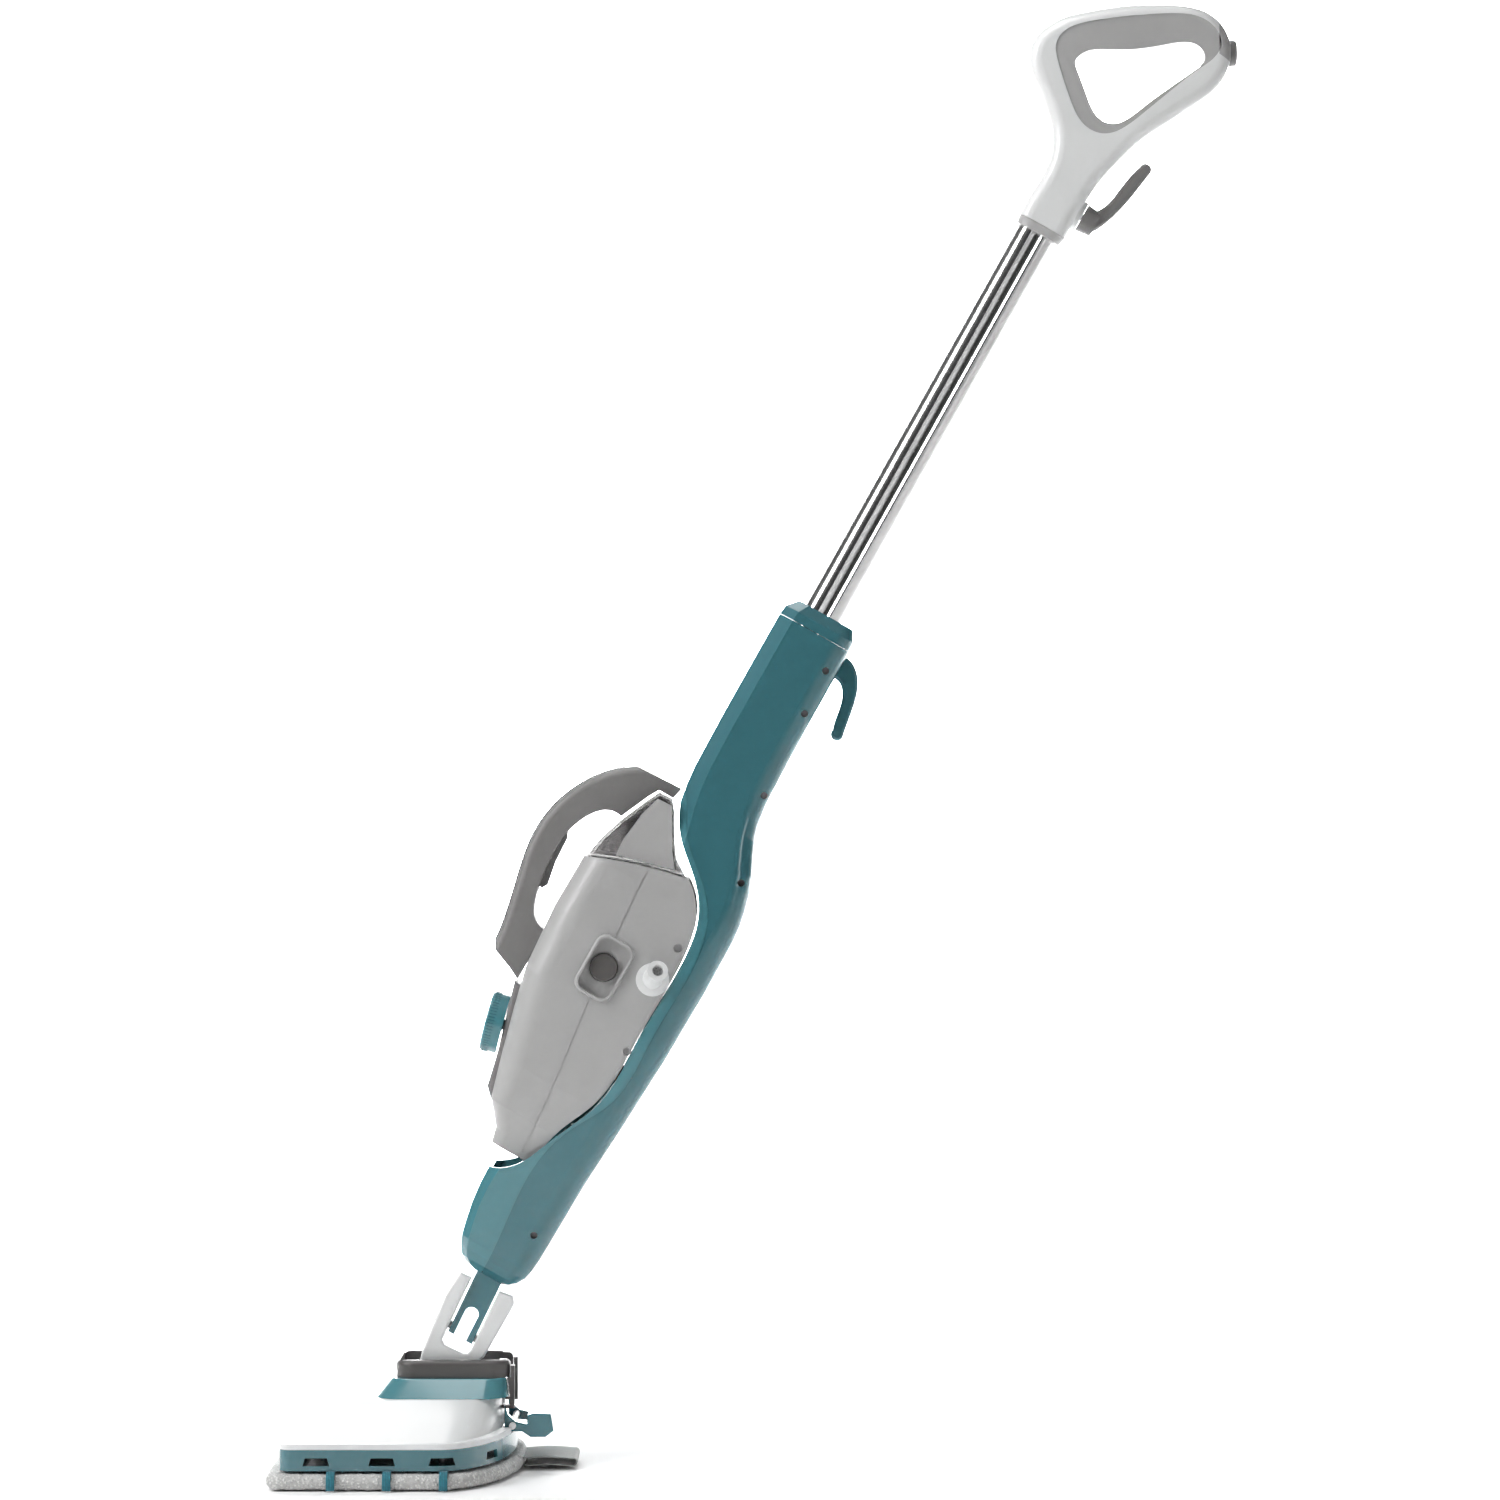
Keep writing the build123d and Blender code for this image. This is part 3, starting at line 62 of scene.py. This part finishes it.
# ---- materials ----
class Shader:
    """A node material in the making, with short calls for nodes and links."""

    def __init__(self, name):
        self.material = bpy.data.materials.new(name)
        self.material.use_nodes = True
        self.tree = self.material.node_tree
        self.bsdf = self.tree.nodes["Principled BSDF"]
        self.place = self.tree.nodes.new("ShaderNodeTexCoord").outputs["Object"]

    def node(self, kind, inputs=None, **settings):
        made = self.tree.nodes.new("ShaderNode" + kind)
        for key, value in settings.items():
            setattr(made, key, value)
        for key, value in (inputs or {}).items():
            if isinstance(value, bpy.types.NodeSocket):
                self.tree.links.new(value, made.inputs[key])
            else:
                made.inputs[key].default_value = value
        return made

    def noise(self, scale, detail=3.0, rough=0.5, place=None):
        made = self.node("TexNoise", {"Vector": place or self.place, "Scale": scale, "Detail": detail,
                                      "Roughness": rough})
        return made.outputs["Fac"]

    def cells(self, scale, feature="F1", place=None):
        made = self.node("TexVoronoi", {"Vector": place or self.place, "Scale": scale}, feature=feature)
        return made.outputs["Distance"]

    def spread(self, value, low, high, to_low, to_high):
        made = self.node("MapRange", {"Value": value, "From Min": low, "From Max": high, "To Min": to_low,
                                      "To Max": to_high})
        return made.outputs["Result"]

    def blend(self, factor, first, second):
        made = self.node("Mix", data_type="RGBA")
        self.tree.links.new(factor, made.inputs["Factor"])
        for key, value in ((6, first), (7, second)):
            if isinstance(value, bpy.types.NodeSocket):
                self.tree.links.new(value, made.inputs[key])
            else:
                made.inputs[key].default_value = (*value, 1.0)
        return made.outputs[2]

    def math(self, operation, first, second):
        made = self.node("Math", {0: first, 1: second}, operation=operation)
        return made.outputs[0]

    def bump(self, height, distance, strength=1.0, under=None):
        inputs = {"Height": height, "Distance": distance, "Strength": strength}
        if under is not None:
            inputs["Normal"] = under
        return self.node("Bump", inputs).outputs["Normal"]

    def edges(self, radius):
        """1 on outer edges and corners, 0 on flat surface."""
        soft = self.node("Bevel", {"Radius": radius}, samples=4).outputs["Normal"]
        sharp = self.node("NewGeometry").outputs["Normal"]
        dot = self.node("VectorMath", {0: soft, 1: sharp}, operation="DOT_PRODUCT").outputs["Value"]
        return self.spread(dot, 0.97, 0.80, 0.0, 1.0)

    def drive(self, socket, value):
        self.tree.links.new(value, self.bsdf.inputs[socket])

    def fix(self, **values):
        for key, value in values.items():
            self.bsdf.inputs[key.replace("_", " ")].default_value = value
        return self


def shade(colour, by):
    """Colour made lighter or darker by a factor."""
    return tuple(min(channel * by, 1.0) for channel in colour)


def moulded(name, colour, rough, coat=0.0, grain=0.010, grain_scale=2600.0, worn=0.10):
    """Injection-moulded plastic: fine grain, slow colour drift, handling marks and paler edges."""
    made = Shader(name)
    drift = made.spread(made.noise(9.0, 2.0), 0.3, 0.7, 0.0, 1.0)
    body = made.blend(drift, shade(colour, 0.96), shade(colour, 1.04))
    patches = made.spread(made.noise(140.0, 5.0), 0.42, 0.7, 0.0, worn)
    rubbed = made.math("MULTIPLY", made.edges(0.6 * MM), patches)
    made.drive("Base Color", made.blend(rubbed, body, shade(colour, 1.5)))
    marks = made.spread(made.noise(38.0, 2.0, 0.5), 0.30, 0.75, rough - 0.015, rough + 0.03)
    made.drive("Roughness", marks)
    fine = made.bump(made.noise(grain_scale, 2.0), grain * MM, 0.8)
    flow = made.bump(made.noise(30.0, 1.0), 0.02 * MM, 0.6, fine)
    made.drive("Normal", flow)
    made.fix(Coat_Weight=coat, Coat_Roughness=0.06, IOR=1.5)
    return made.material


def clear_plastic(name, colour, rough, alpha):
    """Tinted transparent plastic with faint moulding swirls and fine scratches."""
    made = Shader(name)
    tint = made.spread(made.noise(24.0, 2.0), 0.3, 0.7, 0.0, 1.0)
    made.drive("Base Color", made.blend(tint, shade(colour, 0.92), shade(colour, 1.06)))
    stretched = made.node("Mapping", {"Vector": made.place, "Scale": (1.0, 1.0, 0.05)}).outputs["Vector"]
    scratches = made.noise(900.0, 2.0, 0.5, stretched)
    made.drive("Roughness", made.spread(scratches, 0.4, 0.7, rough, rough + 0.12))
    made.drive("Normal", made.bump(made.noise(60.0, 1.0), 0.05 * MM, 0.5))
    made.fix(IOR=1.46, Coat_Weight=0.4, Coat_Roughness=0.04, Transmission_Weight=0.55, Alpha=alpha)
    return made.material


def polished_metal(name, colour, rough, streak=(1.0, 1.0, 1.0), streak_depth=0.004):
    """Bare metal with drawing or turning streaks and faint tarnish."""
    made = Shader(name)
    tarnish = made.spread(made.noise(35.0, 4.0), 0.4, 0.75, 0.0, 1.0)
    made.drive("Base Color", made.blend(tarnish, colour, shade(colour, 0.88)))
    drawn = made.node("Mapping", {"Vector": made.place, "Scale": streak, "Rotation": (0, -LEAN, 0)},
                      vector_type="TEXTURE").outputs["Vector"]
    streaks = made.noise(1500.0, 2.0, 0.5, drawn)
    made.drive("Roughness", made.spread(streaks, 0.3, 0.7, rough, rough + 0.10))
    made.drive("Normal", made.bump(streaks, streak_depth * MM, 0.5))
    made.fix(Metallic=1.0)
    return made.material


def rubber(name, colour, rough=0.62):
    """Matt soft-touch rubber with a fine pebbled skin and dust in it."""
    made = Shader(name)
    dust = made.spread(made.noise(90.0, 5.0), 0.5, 0.8, 0.0, 0.35)
    made.drive("Base Color", made.blend(dust, colour, shade(colour, 1.7)))
    made.drive("Roughness", made.spread(made.noise(300.0, 3.0), 0.3, 0.7, rough - 0.06, rough + 0.08))
    made.drive("Normal", made.bump(made.cells(1800.0), 0.02 * MM, 0.7))
    made.fix(IOR=1.48)
    return made.material


def terry(name, colour):
    """Looped microfibre: loop tips painted a little paler, painted shade greying the hollows between them,
    short fibres and sheen.
    """
    made = Shader(name)
    loops = made.cells(420.0)
    tufts = made.spread(loops, 0.05, 0.55, 1.0, 0.0)
    patch = made.spread(made.noise(70.0, 3.0), 0.35, 0.65, 0.0, 1.0)
    # Base colour from the loop height: painted shade darkens the hollows between loops to 0.58 of the
    # cloth's colour, and the loop tips are painted a little paler.
    pile_painted_shade = made.blend(tufts, shade(colour, 0.58), shade(colour, 1.08))
    made.drive("Base Color", made.blend(made.math("MULTIPLY", patch, 0.25), pile_painted_shade, shade(colour, 0.70)))
    made.drive("Roughness", made.spread(tufts, 0.0, 1.0, 0.98, 0.84))
    loop_bump = made.bump(tufts, 0.9 * MM, 1.0)
    made.drive("Normal", made.bump(made.noise(4200.0, 3.0), 0.10 * MM, 0.8, loop_bump))
    made.fix(Sheen_Weight=0.35, Sheen_Roughness=0.5)
    return made.material


def webbing(name, colour, turn, rib_scale=1700.0):
    """Woven narrow fabric: ribs across the strap and threads along it. turn aligns the ribs, in degrees."""
    made = Shader(name)
    turned = made.node("Mapping", {"Vector": made.place, "Rotation": tuple(radians(a) for a in turn)})
    ribs = made.node("TexWave", {"Vector": turned.outputs["Vector"], "Scale": rib_scale / 6.3,
                                 "Distortion": 0.6, "Detail": 1.0}, bands_direction="X").outputs["Fac"]
    threads = made.node("TexWave", {"Vector": turned.outputs["Vector"], "Scale": rib_scale / 3.0,
                                    "Distortion": 0.4}, bands_direction="Y").outputs["Fac"]
    weave_relief_and_painted_shade = made.math("MULTIPLY", ribs, made.spread(threads, 0.0, 1.0, 0.55, 1.0))
    # The weave's relief also paints the base colour: painted shade darkens the furrows between ribs and
    # threads, and the raised ribs are painted paler.
    made.drive("Base Color", made.blend(weave_relief_and_painted_shade, shade(colour, 0.62), shade(colour, 1.15)))
    made.drive("Roughness", made.spread(made.noise(500.0), 0.3, 0.7, 0.74, 0.90))
    made.drive("Normal", made.bump(weave_relief_and_painted_shade, 0.22 * MM, 0.9))
    made.fix(Sheen_Weight=0.25, Sheen_Roughness=0.4)
    return made.material


TEAL = (0.046, 0.166, 0.200)
TEAL_LIGHT = (0.070, 0.230, 0.270)
LOOKS = {
    "teal": moulded("teal_plastic", TEAL, 0.22, coat=0.7, grain=0.006, worn=0.04),
    "teal_light": moulded("light_teal_plastic", TEAL_LIGHT, 0.18, coat=0.8, grain=0.006, worn=0.04),
    "white_shell": moulded("white_gloss_plastic", (0.80, 0.81, 0.81), 0.30, coat=0.3, worn=0.02),
    "light_grey": moulded("light_grey_plastic", (0.43, 0.43, 0.43), 0.38, grain=0.014, worn=0.06),
    "mid_grey": moulded("mid_grey_plastic", (0.215, 0.21, 0.21), 0.42, grain=0.018, worn=0.08),
    "dark_grey": moulded("dark_grey_plastic", (0.095, 0.090, 0.088), 0.40, grain=0.018, worn=0.10),
    "soft_black": rubber("soft_touch_strip", (0.012, 0.012, 0.013)),
    "smoke_tank": clear_plastic("smoke_tank_plastic", (0.13, 0.125, 0.125), 0.07, 0.80),
    "trim_clear": clear_plastic("pale_blue_trim", (0.62, 0.80, 0.84), 0.08, 0.85),
    "tube_metal": polished_metal("polished_tube", (0.80, 0.80, 0.80), 0.12, (1.0, 1.0, 60.0)),
    "steel": polished_metal("plain_steel", (0.50, 0.50, 0.51), 0.32),
    "brass": polished_metal("machined_brass", (0.62, 0.44, 0.16), 0.28),
    "boiler_alu": polished_metal("cast_aluminium", (0.60, 0.61, 0.62), 0.45, streak_depth=0.03),
    "rubber_black": rubber("black_rubber", (0.020, 0.020, 0.021), 0.55),
    "board_green": moulded("circuit_board", (0.02, 0.12, 0.05), 0.35),
    "hook_tape": terry("hook_tape_pile", (0.10, 0.10, 0.10)),
    "white_hose": rubber("silicone_rubber", (0.70, 0.70, 0.68), 0.45),
    "pad_cloth": terry("microfibre_pile", (0.90, 0.90, 0.885)),
    "loop_elastic": webbing("teal_elastic", (0.035, 0.22, 0.29), (0, 0, 0)),
    "grey_ribbon": webbing("grey_ribbon_weave", (0.40, 0.41, 0.40), (0, 0, 90)),
}

slots = {entry["node"]: entry["material_slot"] for entry in frame["record"]["subparts"]}
for name, piece in nodes.items():
    piece.data.materials.clear()
    piece.data.materials.append(LOOKS[slots[name]])
    bpy.context.view_layer.objects.active = piece
    for other in bpy.context.selected_objects:
        other.select_set(False)
    piece.select_set(True)
    bpy.ops.object.shade_auto_smooth(angle=radians(32))


# ---- mesh helpers ----
def piece_from(name, verts, faces, body, slot_name, smooth=True):
    """New mesh piece with its faces turned outward, riding on a CAD body, in a material slot's look."""
    mesh = bpy.data.meshes.new(name)
    mesh.from_pydata([tuple(v) for v in verts], [], faces)
    shell = bmesh.new()
    shell.from_mesh(mesh)
    bmesh.ops.recalc_face_normals(shell, faces=shell.faces)
    shell.to_mesh(mesh)
    shell.free()
    for face in mesh.polygons:
        face.use_smooth = smooth
    made = bpy.data.objects.new(name, mesh)
    bpy.context.scene.collection.objects.link(made)
    made.data.materials.append(LOOKS[slot_name])
    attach(made, body)
    return made


def strap(path, across, width, thickness, rows=6):
    """Closed band of a given width and thickness that follows a path of points in one plane."""
    verts = []
    faces = []
    count = len(path)
    ring = 2 * (rows + 1)
    for i, point in enumerate(path):
        ahead = path[min(i + 1, count - 1)] - path[max(i - 1, 0)]
        normal = across.cross(ahead).normalized()
        for face_side in (1, -1):
            for j in range(rows + 1):
                k = j if face_side > 0 else rows - j
                place = (k / rows - 0.5) * width
                edge = 1.0 - 0.45 * abs(2 * k / rows - 1) ** 4
                verts.append(point + across * place + normal * (face_side * thickness / 2 * edge))
    for i in range(count - 1):
        for j in range(ring):
            a = i * ring + j
            b = i * ring + (j + 1) % ring
            faces.append((a, b, b + ring, a + ring))
    faces.append(tuple(range(ring)))
    faces.append(tuple((count - 1) * ring + j for j in range(ring)))
    return verts, faces


# ---- mop pad: a terry slab with rounded edges ----
PAD_FRONT = -0.092
PAD_REAR = 0.092
PAD_HALF = 0.125
PAD_BEND = 0.032
PAD_CORNER = 0.014
PAD_T = 0.013
PAD_SPACING = 0.0016             # between points round the outline
PAD_RINGS = 46                   # from the middle of a face to its edge
REAR_STEPS = 96
CORNER_STEPS = 12
PILE = 0.0011                    # how far the tufts rise and fall


def pad_outline(inset, spacing):
    """Points round the pad's plan outline, drawn in by inset: straight front and sides, oval rear."""
    front, rear, half = PAD_FRONT + inset, PAD_REAR - inset, PAD_HALF - inset
    corner = max(PAD_CORNER - inset, 0.004)
    run = []
    for i in range(REAR_STEPS + 1):
        angle = -pi / 2 + pi * i / REAR_STEPS
        run.append(Vector((PAD_BEND + (rear - PAD_BEND) * cos(angle), half * sin(angle), 0)))
    for side in (1, -1):
        for i in range(CORNER_STEPS + 1):
            part = i / CORNER_STEPS
            angle = pi / 2 * (part if side > 0 else 1 - part)
            run.append(Vector((front + corner - corner * sin(angle),
                               side * (half - corner + corner * cos(angle)), 0)))
    run.append(run[0])
    lengths = [0.0]
    for a, b in zip(run, run[1:]):
        lengths.append(lengths[-1] + (b - a).length)
    count = int(lengths[-1] / spacing)
    points = []
    j = 0
    for i in range(count):
        goal = lengths[-1] * i / count
        while lengths[j + 1] < goal:
            j += 1
        part = (goal - lengths[j]) / (lengths[j + 1] - lengths[j])
        points.append(run[j].lerp(run[j + 1], part))
    return points


def build_pad():
    """Slab of rings from the top's middle round the edge to the bottom's middle, with a tufted skin."""
    outline = pad_outline(0.0, PAD_SPACING)
    count = len(outline)
    middle = Vector((0.0, 0.0, 0.0))
    edge_r = PAD_T / 2 - PILE
    profile = []
    for i in range(PAD_RINGS):
        profile.append((i / PAD_RINGS, 0.0, edge_r))
    for i in range(CORNER_STEPS + 1):
        angle = pi / 2 - pi * i / CORNER_STEPS
        profile.append((1.0, cos(angle) * edge_r, sin(angle) * edge_r))
    for i in range(PAD_RINGS):
        profile.append((1.0 - (i + 1) / PAD_RINGS, 0.0, -edge_r))
    core = pad_outline(edge_r + PILE, PAD_SPACING)
    core = [core[int(i * len(core) / count)] for i in range(count)]
    verts = []
    faces = []
    for scale, out, height in profile:
        for i in range(count):
            base = middle.lerp(core[i], scale)
            away = (outline[i] - core[i]).normalized()
            verts.append(base + away * out + Vector((0, 0, PAD_T / 2 + height)))
    for ring in range(len(profile) - 1):
        for i in range(count):
            a = ring * count + i
            b = ring * count + (i + 1) % count
            faces.append((a, b, b + count, a + count))
    made = piece_from("microfibre_pad", verts, faces, "pad", "pad_cloth")
    shell = bmesh.new()
    shell.from_mesh(made.data)
    bmesh.ops.remove_doubles(shell, verts=shell.verts, dist=0.00025)
    shell.normal_update()
    for vert in shell.verts:
        lump = noise.noise(vert.co * 190.0) * 0.5 + noise.noise(vert.co * 420.0 + Vector((7, 3, 1))) * 0.6
        soft = noise.noise(vert.co * 28.0) * 0.35
        lift = PILE * max(-1.0, min(1.0, lump + soft))
        grown = vert.co + vert.normal * lift
        grown.z = min(max(grown.z, 0.0), PAD_T)
        vert.co = grown
    shell.to_mesh(made.data)
    shell.free()
    for face in made.data.polygons:
        face.use_smooth = True
    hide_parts("mop_pad")
    return made


build_pad()


# ---- elastic loops that hold the pad on the head ----
LOOP_XS = (-0.043, -0.003, 0.0375)
LOOP_W = 0.0062
LOOP_T = 0.0011
LOOP_PATH = ((0.1170, 0.0138), (0.1195, 0.0137), (0.1220, 0.0134), (0.1243, 0.0122), (0.1257, 0.0102),
             (0.1261, 0.0078), (0.1261, 0.0052), (0.1257, 0.0030), (0.1248, 0.0013))


def build_loops():
    """Short elastic bands from under the pad's edge, round its side and onto its top, near the rim."""
    verts = []
    faces = []
    for x in LOOP_XS:
        for side in (-1, 1):
            path = [Vector((x, side * y, z)) for y, z in LOOP_PATH]
            band_verts, band_faces = strap(path, Vector((1, 0, 0)), LOOP_W, LOOP_T)
            start = len(verts)
            verts.extend(band_verts)
            faces.extend(tuple(start + k for k in face) for face in band_faces)
    made = piece_from("pad_elastic_loops", verts, faces, "pad", "loop_elastic")
    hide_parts("pad_loops")
    return made


build_loops()


# ---- folded ribbon for pulling the pad off ----
TAB_HALF = 0.025
TAB_END = 0.1295
TAB_TURN = TAB_END - 0.0040       # where the ribbon starts to fold back
TAB_UPPER_ROOT = 0.0890
TAB_LOWER_ROOT = 0.0900
TAB_T = 0.0009
TAB_STEPS = 12


def build_tab():
    """Ribbon sewn into the pad's rear edge, folded back on itself into a flat open loop."""
    path = []
    for i in range(TAB_STEPS + 1):
        part = i / TAB_STEPS
        x = TAB_UPPER_ROOT + (TAB_TURN - TAB_UPPER_ROOT) * part
        path.append(Vector((x, 0, 0.0088 + 0.0018 * sin(part * pi) * 0.6)))
    for i in range(1, TAB_STEPS):
        angle = pi / 2 - pi * i / TAB_STEPS
        path.append(Vector((TAB_TURN + 0.0034 * cos(angle), 0, 0.0060 + 0.0030 * sin(angle))))
    for i in range(TAB_STEPS + 1):
        part = 1 - i / TAB_STEPS
        x = TAB_LOWER_ROOT + (TAB_TURN - TAB_LOWER_ROOT) * part
        path.append(Vector((x, 0, 0.0030 + 0.0012 * sin(part * pi))))
    verts, faces = strap(path, Vector((0, 1, 0)), 2 * TAB_HALF, TAB_T, rows=24)
    for vert in verts:
        vert.z += 0.0004 * sin(vert.y * 120.0) * min(max((vert.x - 0.095) / 0.03, 0.0), 1.0)
    made = piece_from("pull_tab_ribbon", verts, faces, "pad", "grey_ribbon")
    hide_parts("pad_pull_tab")
    return made


build_tab()


# ---- dial: fine grip teeth round its front edge ----
DIAL_AXIS = (ACROSS * -0.968 + ALONG * -0.248).normalized()
DIAL_CENTRE = at(-81.6, 253.0)
DIAL_R = 0.0225
TEETH = 60
TOOTH_ROOT = 0.0004              # how deep a tooth's foot sits in the dial
TOOTH = ((0.0070, 0.0, 0.00025), (0.0080, 0.00030, 0.00042), (0.0120, 0.00034, 0.00042),
         (0.0124, 0.0, 0.00030))


def build_dial_teeth():
    """Low rounded teeth along the dial's rim, half its width, tapering into the surface."""
    side = DIAL_AXIS.cross(Vector((0, 1, 0))).normalized()
    up = DIAL_AXIS.cross(side)
    verts = []
    faces = []
    for i in range(TEETH):
        angle = 2 * pi * i / TEETH
        out = side * cos(angle) + up * sin(angle)
        along = side * -sin(angle) + up * cos(angle)
        start = len(verts)
        for depth, lift, width in TOOTH:
            centre = DIAL_CENTRE + DIAL_AXIS * depth + out * (DIAL_R + lift)
            foot = DIAL_CENTRE + DIAL_AXIS * depth + out * (DIAL_R - TOOTH_ROOT)
            verts.extend((foot - along * width * 1.3, centre - along * width * 0.6,
                          centre + along * width * 0.6, foot + along * width * 1.3))
        for k in range(3):
            a = start + 4 * k
            for j in range(4):
                b = a + j
                c = a + (j + 1) % 4
                faces.append((b, c, c + 4, b + 4))
        faces.append((start, start + 1, start + 2, start + 3))
        faces.append((start + 12, start + 13, start + 14, start + 15))
    return piece_from("dial_grip_teeth", verts, faces, "dial", "teal", smooth=False)


build_dial_teeth()


# ---- stage: pale floor that curves up behind, soft lights, camera ----
STAGE_HALF = 8.0
STAGE_NEAR = -9.0
CURVE_START = 5.0
CURVE_R = 1.6
CURVE_STEPS = 12
WALL_TOP = 8.0


def plain_floor():
    """Pale matt floor curving up into a backdrop, well behind the mop."""
    made = Shader("stage_paper")
    made.drive("Roughness", made.spread(made.noise(3.0), 0.3, 0.7, 0.85, 0.95))
    made.drive("Base Color", made.blend(made.noise(0.8), (0.94, 0.94, 0.94), (0.97, 0.97, 0.97)))
    profile = [(STAGE_NEAR, 0.0), (CURVE_START, 0.0)]
    for i in range(1, CURVE_STEPS + 1):
        angle = pi / 2 * i / CURVE_STEPS
        profile.append((CURVE_START + CURVE_R * sin(angle), CURVE_R - CURVE_R * cos(angle)))
    profile.append((CURVE_START + CURVE_R, WALL_TOP))
    verts = []
    for y, z in profile:
        verts.extend(((-STAGE_HALF, y, z), (STAGE_HALF, y, z)))
    faces = [(2 * i, 2 * i + 1, 2 * i + 3, 2 * i + 2) for i in range(len(profile) - 1)]
    mesh = bpy.data.meshes.new("stage_floor")
    mesh.from_pydata(verts, [], faces)
    for face in mesh.polygons:
        face.use_smooth = True
    floor = bpy.data.objects.new("stage_floor", mesh)
    bpy.context.scene.collection.objects.link(floor)
    floor.data.materials.append(made.material)


def soft_light(name, place, target, size, power, spread=180.0):
    """Rectangular soft box aimed at a point, with its beam no wider than spread, in degrees."""
    lamp = bpy.data.lights.new(name, "AREA")
    lamp.shape = "RECTANGLE"
    lamp.size, lamp.size_y = size
    lamp.energy = power
    lamp.spread = radians(spread)
    made = bpy.data.objects.new(name, lamp)
    bpy.context.scene.collection.objects.link(made)
    made.location = place
    made.rotation_euler = (Vector(target) - Vector(place)).to_track_quat("-Z", "Y").to_euler()


def studio_world():
    """Even surroundings, dark low down and pale overhead, for calm reflections."""
    world = bpy.data.worlds.new("studio")
    world.use_nodes = True
    tree = world.node_tree
    place = tree.nodes.new("ShaderNodeTexCoord").outputs["Generated"]
    apart = tree.nodes.new("ShaderNodeSeparateXYZ")
    tree.links.new(place, apart.inputs[0])
    ramp = tree.nodes.new("ShaderNodeValToRGB")
    ramp.color_ramp.elements[0].position = 0.30
    ramp.color_ramp.elements[0].color = (0.12, 0.12, 0.12, 1)
    ramp.color_ramp.elements[1].position = 0.98
    ramp.color_ramp.elements[1].color = (1.0, 1.0, 1.0, 1)
    tree.links.new(apart.outputs["Z"], ramp.inputs["Fac"])
    tree.links.new(ramp.outputs["Color"], tree.nodes["Background"].inputs["Color"])
    tree.nodes["Background"].inputs["Strength"].default_value = 0.30
    bpy.context.scene.world = world


def camera_view():
    """Level camera on the mop's left side, a little behind its middle, far off with a long lens."""
    lens = bpy.data.cameras.new("camera")
    lens.lens = 107.0
    lens.sensor_width = 36.0
    made = bpy.data.objects.new("camera", lens)
    bpy.context.scene.collection.objects.link(made)
    made.location = (0.256, -3.3, 0.529)
    made.rotation_euler = (pi / 2, 0, 0)
    bpy.context.scene.camera = made


plain_floor()
studio_world()
bpy.context.scene.view_settings.view_transform = "Standard"
soft_light("key_left", (-2.3, -1.3, 2.1), (0.15, 0, 0.5), (1.0, 1.8), 66.0)
soft_light("fill_right", (2.6, -2.4, 1.2), (0.25, 0, 0.5), (0.5, 1.8), 11.0)
soft_light("top", (-0.3, -0.5, 2.9), (0.20, 0, 0.4), (1.4, 1.0), 24.0)
soft_light("backdrop", (0.3, 4.4, 4.4), (0.3, 6.6, 1.2), (6.0, 1.2), 900.0, 120.0)
soft_light("backdrop_floor", (0.3, 2.8, 3.8), (0.3, 3.0, 0.0), (6.0, 2.0), 420.0, 80.0)
camera_view()
